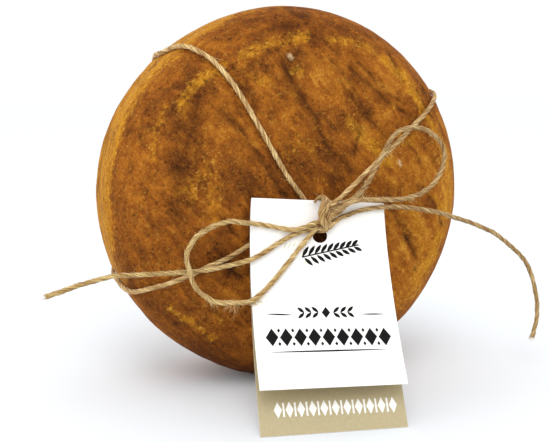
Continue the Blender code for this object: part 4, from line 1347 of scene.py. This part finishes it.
black_marks = [mark(left, right, half_width, rule) for left, right, half_width in RULES]
black_marks += row_of_lozenges(*BLACK_ROW, ((3.92, -5.2, -2.6, 0.9, lozenge),
                                            (3.92, 2.8, 5.4, 0.9, lozenge)))
for side in (-1, 1):
    for step in range(SPRAY_PAIRS):
        x, y = SPRAY_MIDDLE[0] + side * (4.2 + 4.0 * step), SPRAY_MIDDLE[1] + side * 0.3
        for rise in (-3.4, 3.2):
            black_marks.append(mark((x, y), (x + side * 3.6, y + rise), 0.95, lens))
black_marks.append(mark((38.6, 65.3), (43.4, 65.5), 3.4, lozenge))
for step in range(SPRIG_PAIRS):
    x, y = SPRIG_FOOT[0] + 3.7 * step, SPRIG_FOOT[1] - 0.75 * step
    black_marks.append(mark((x, y), (x + 4.0, y - 6.2 + 0.3 * step), 1.05, lens))
    black_marks.append(mark((x + 1.2, y + 0.6), (x + 6.0, y + 5.4 - 0.3 * step), 1.05, lens))
    black_marks.append(mark((x - 0.2, y + 0.2), (x + 4.2, y - 0.7), 0.42, bar))
print_marks("front_print", black_marks, FRONT_FOOT, FRONT_HEIGHT,
            printing_ink("black_ink", paint(7, 7, 7), paint(22, 21, 20)))

pale_marks = [mark((19.0 + 2.6 * step, 27.4 - 0.6 * step), (21.4 + 2.6 * step, 22.6), 0.5, lens)
              for step in range(3)]
pale_marks += [mark((30.6 + 2.2 * step, 36.6), (32.6 + 2.2 * step, 32.0), 0.5, lens) for step in range(2)]
print_marks("pale_print", pale_marks, FRONT_FOOT, FRONT_HEIGHT,
            printing_ink("pale_ink", paint(222, 222, 200), paint(236, 236, 222)))

white_marks = row_of_lozenges(*WHITE_ROW, ((3.17, -3.9, 3.9, 0.5, bar),))
print_marks("back_leaf_print", white_marks, BACK_FOOT, BACK_HEIGHT,
            printing_ink("white_ink", paint(250, 249, 245), paint(240, 236, 226)))


# The studio: a pale seamless floor under an even white sky, with a wide soft light high in front, a weaker
# one at the left, which brings out the rim, and a hazy sun high up, which lays the soft shadow.
FLOOR_SIZE = 12.0
SKY_STRENGTH = 1.0
SUN_STRENGTH = 0.7
SUN_ANGLE = 35.0
SUN_FROM = (-0.25, -0.5, 1.0)
# Name, place, size and power
SOFT_LIGHTS = (("front_light", (-0.3, -1.2, 1.1), 1.0, 3.0), ("left_light", (-1.3, -0.2, 0.5), 0.8, 2.4))

plane = bmesh.new()
bmesh.ops.create_grid(plane, x_segments=8, y_segments=8, size=FLOOR_SIZE / 2)
seamless, tree, shader = new_material("seamless_floor")
set_inputs(tree, shader, {"Base Color": paint(235, 239, 243), "Roughness": 0.9, "Specular IOR Level": 0.1})
floor = add_piece("floor", mesh_from("floor", plane), seamless)
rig.stage(floor)

sky = bpy.data.worlds.new("sky")
sky.use_nodes = True
set_inputs(sky.node_tree, sky.node_tree.nodes["Background"], {"Color": (1.0, 1.0, 1.0, 1.0),
                                                              "Strength": SKY_STRENGTH})
scene.world = sky
for name, place, size, power in SOFT_LIGHTS:
    light = bpy.data.lights.new(name, "AREA")
    light.shape = "DISK"
    light.size = size
    light.energy = power
    aim(bpy.data.objects.new(name, light), place, (0, 0, WHEEL_CENTRE))
sun = bpy.data.lights.new("high_light", "SUN")
sun.energy = SUN_STRENGTH
sun.angle = math.radians(SUN_ANGLE)
aim(bpy.data.objects.new("high_light", sun), SUN_FROM, (0, 0, 0))
scene.view_settings.view_transform = "Standard"

new_low, new_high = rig.bounds()
with open("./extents.json", "w") as report:
    json.dump({"cad": [list(cad_low), list(cad_high)], "visual": [list(new_low), list(new_high)]}, report)
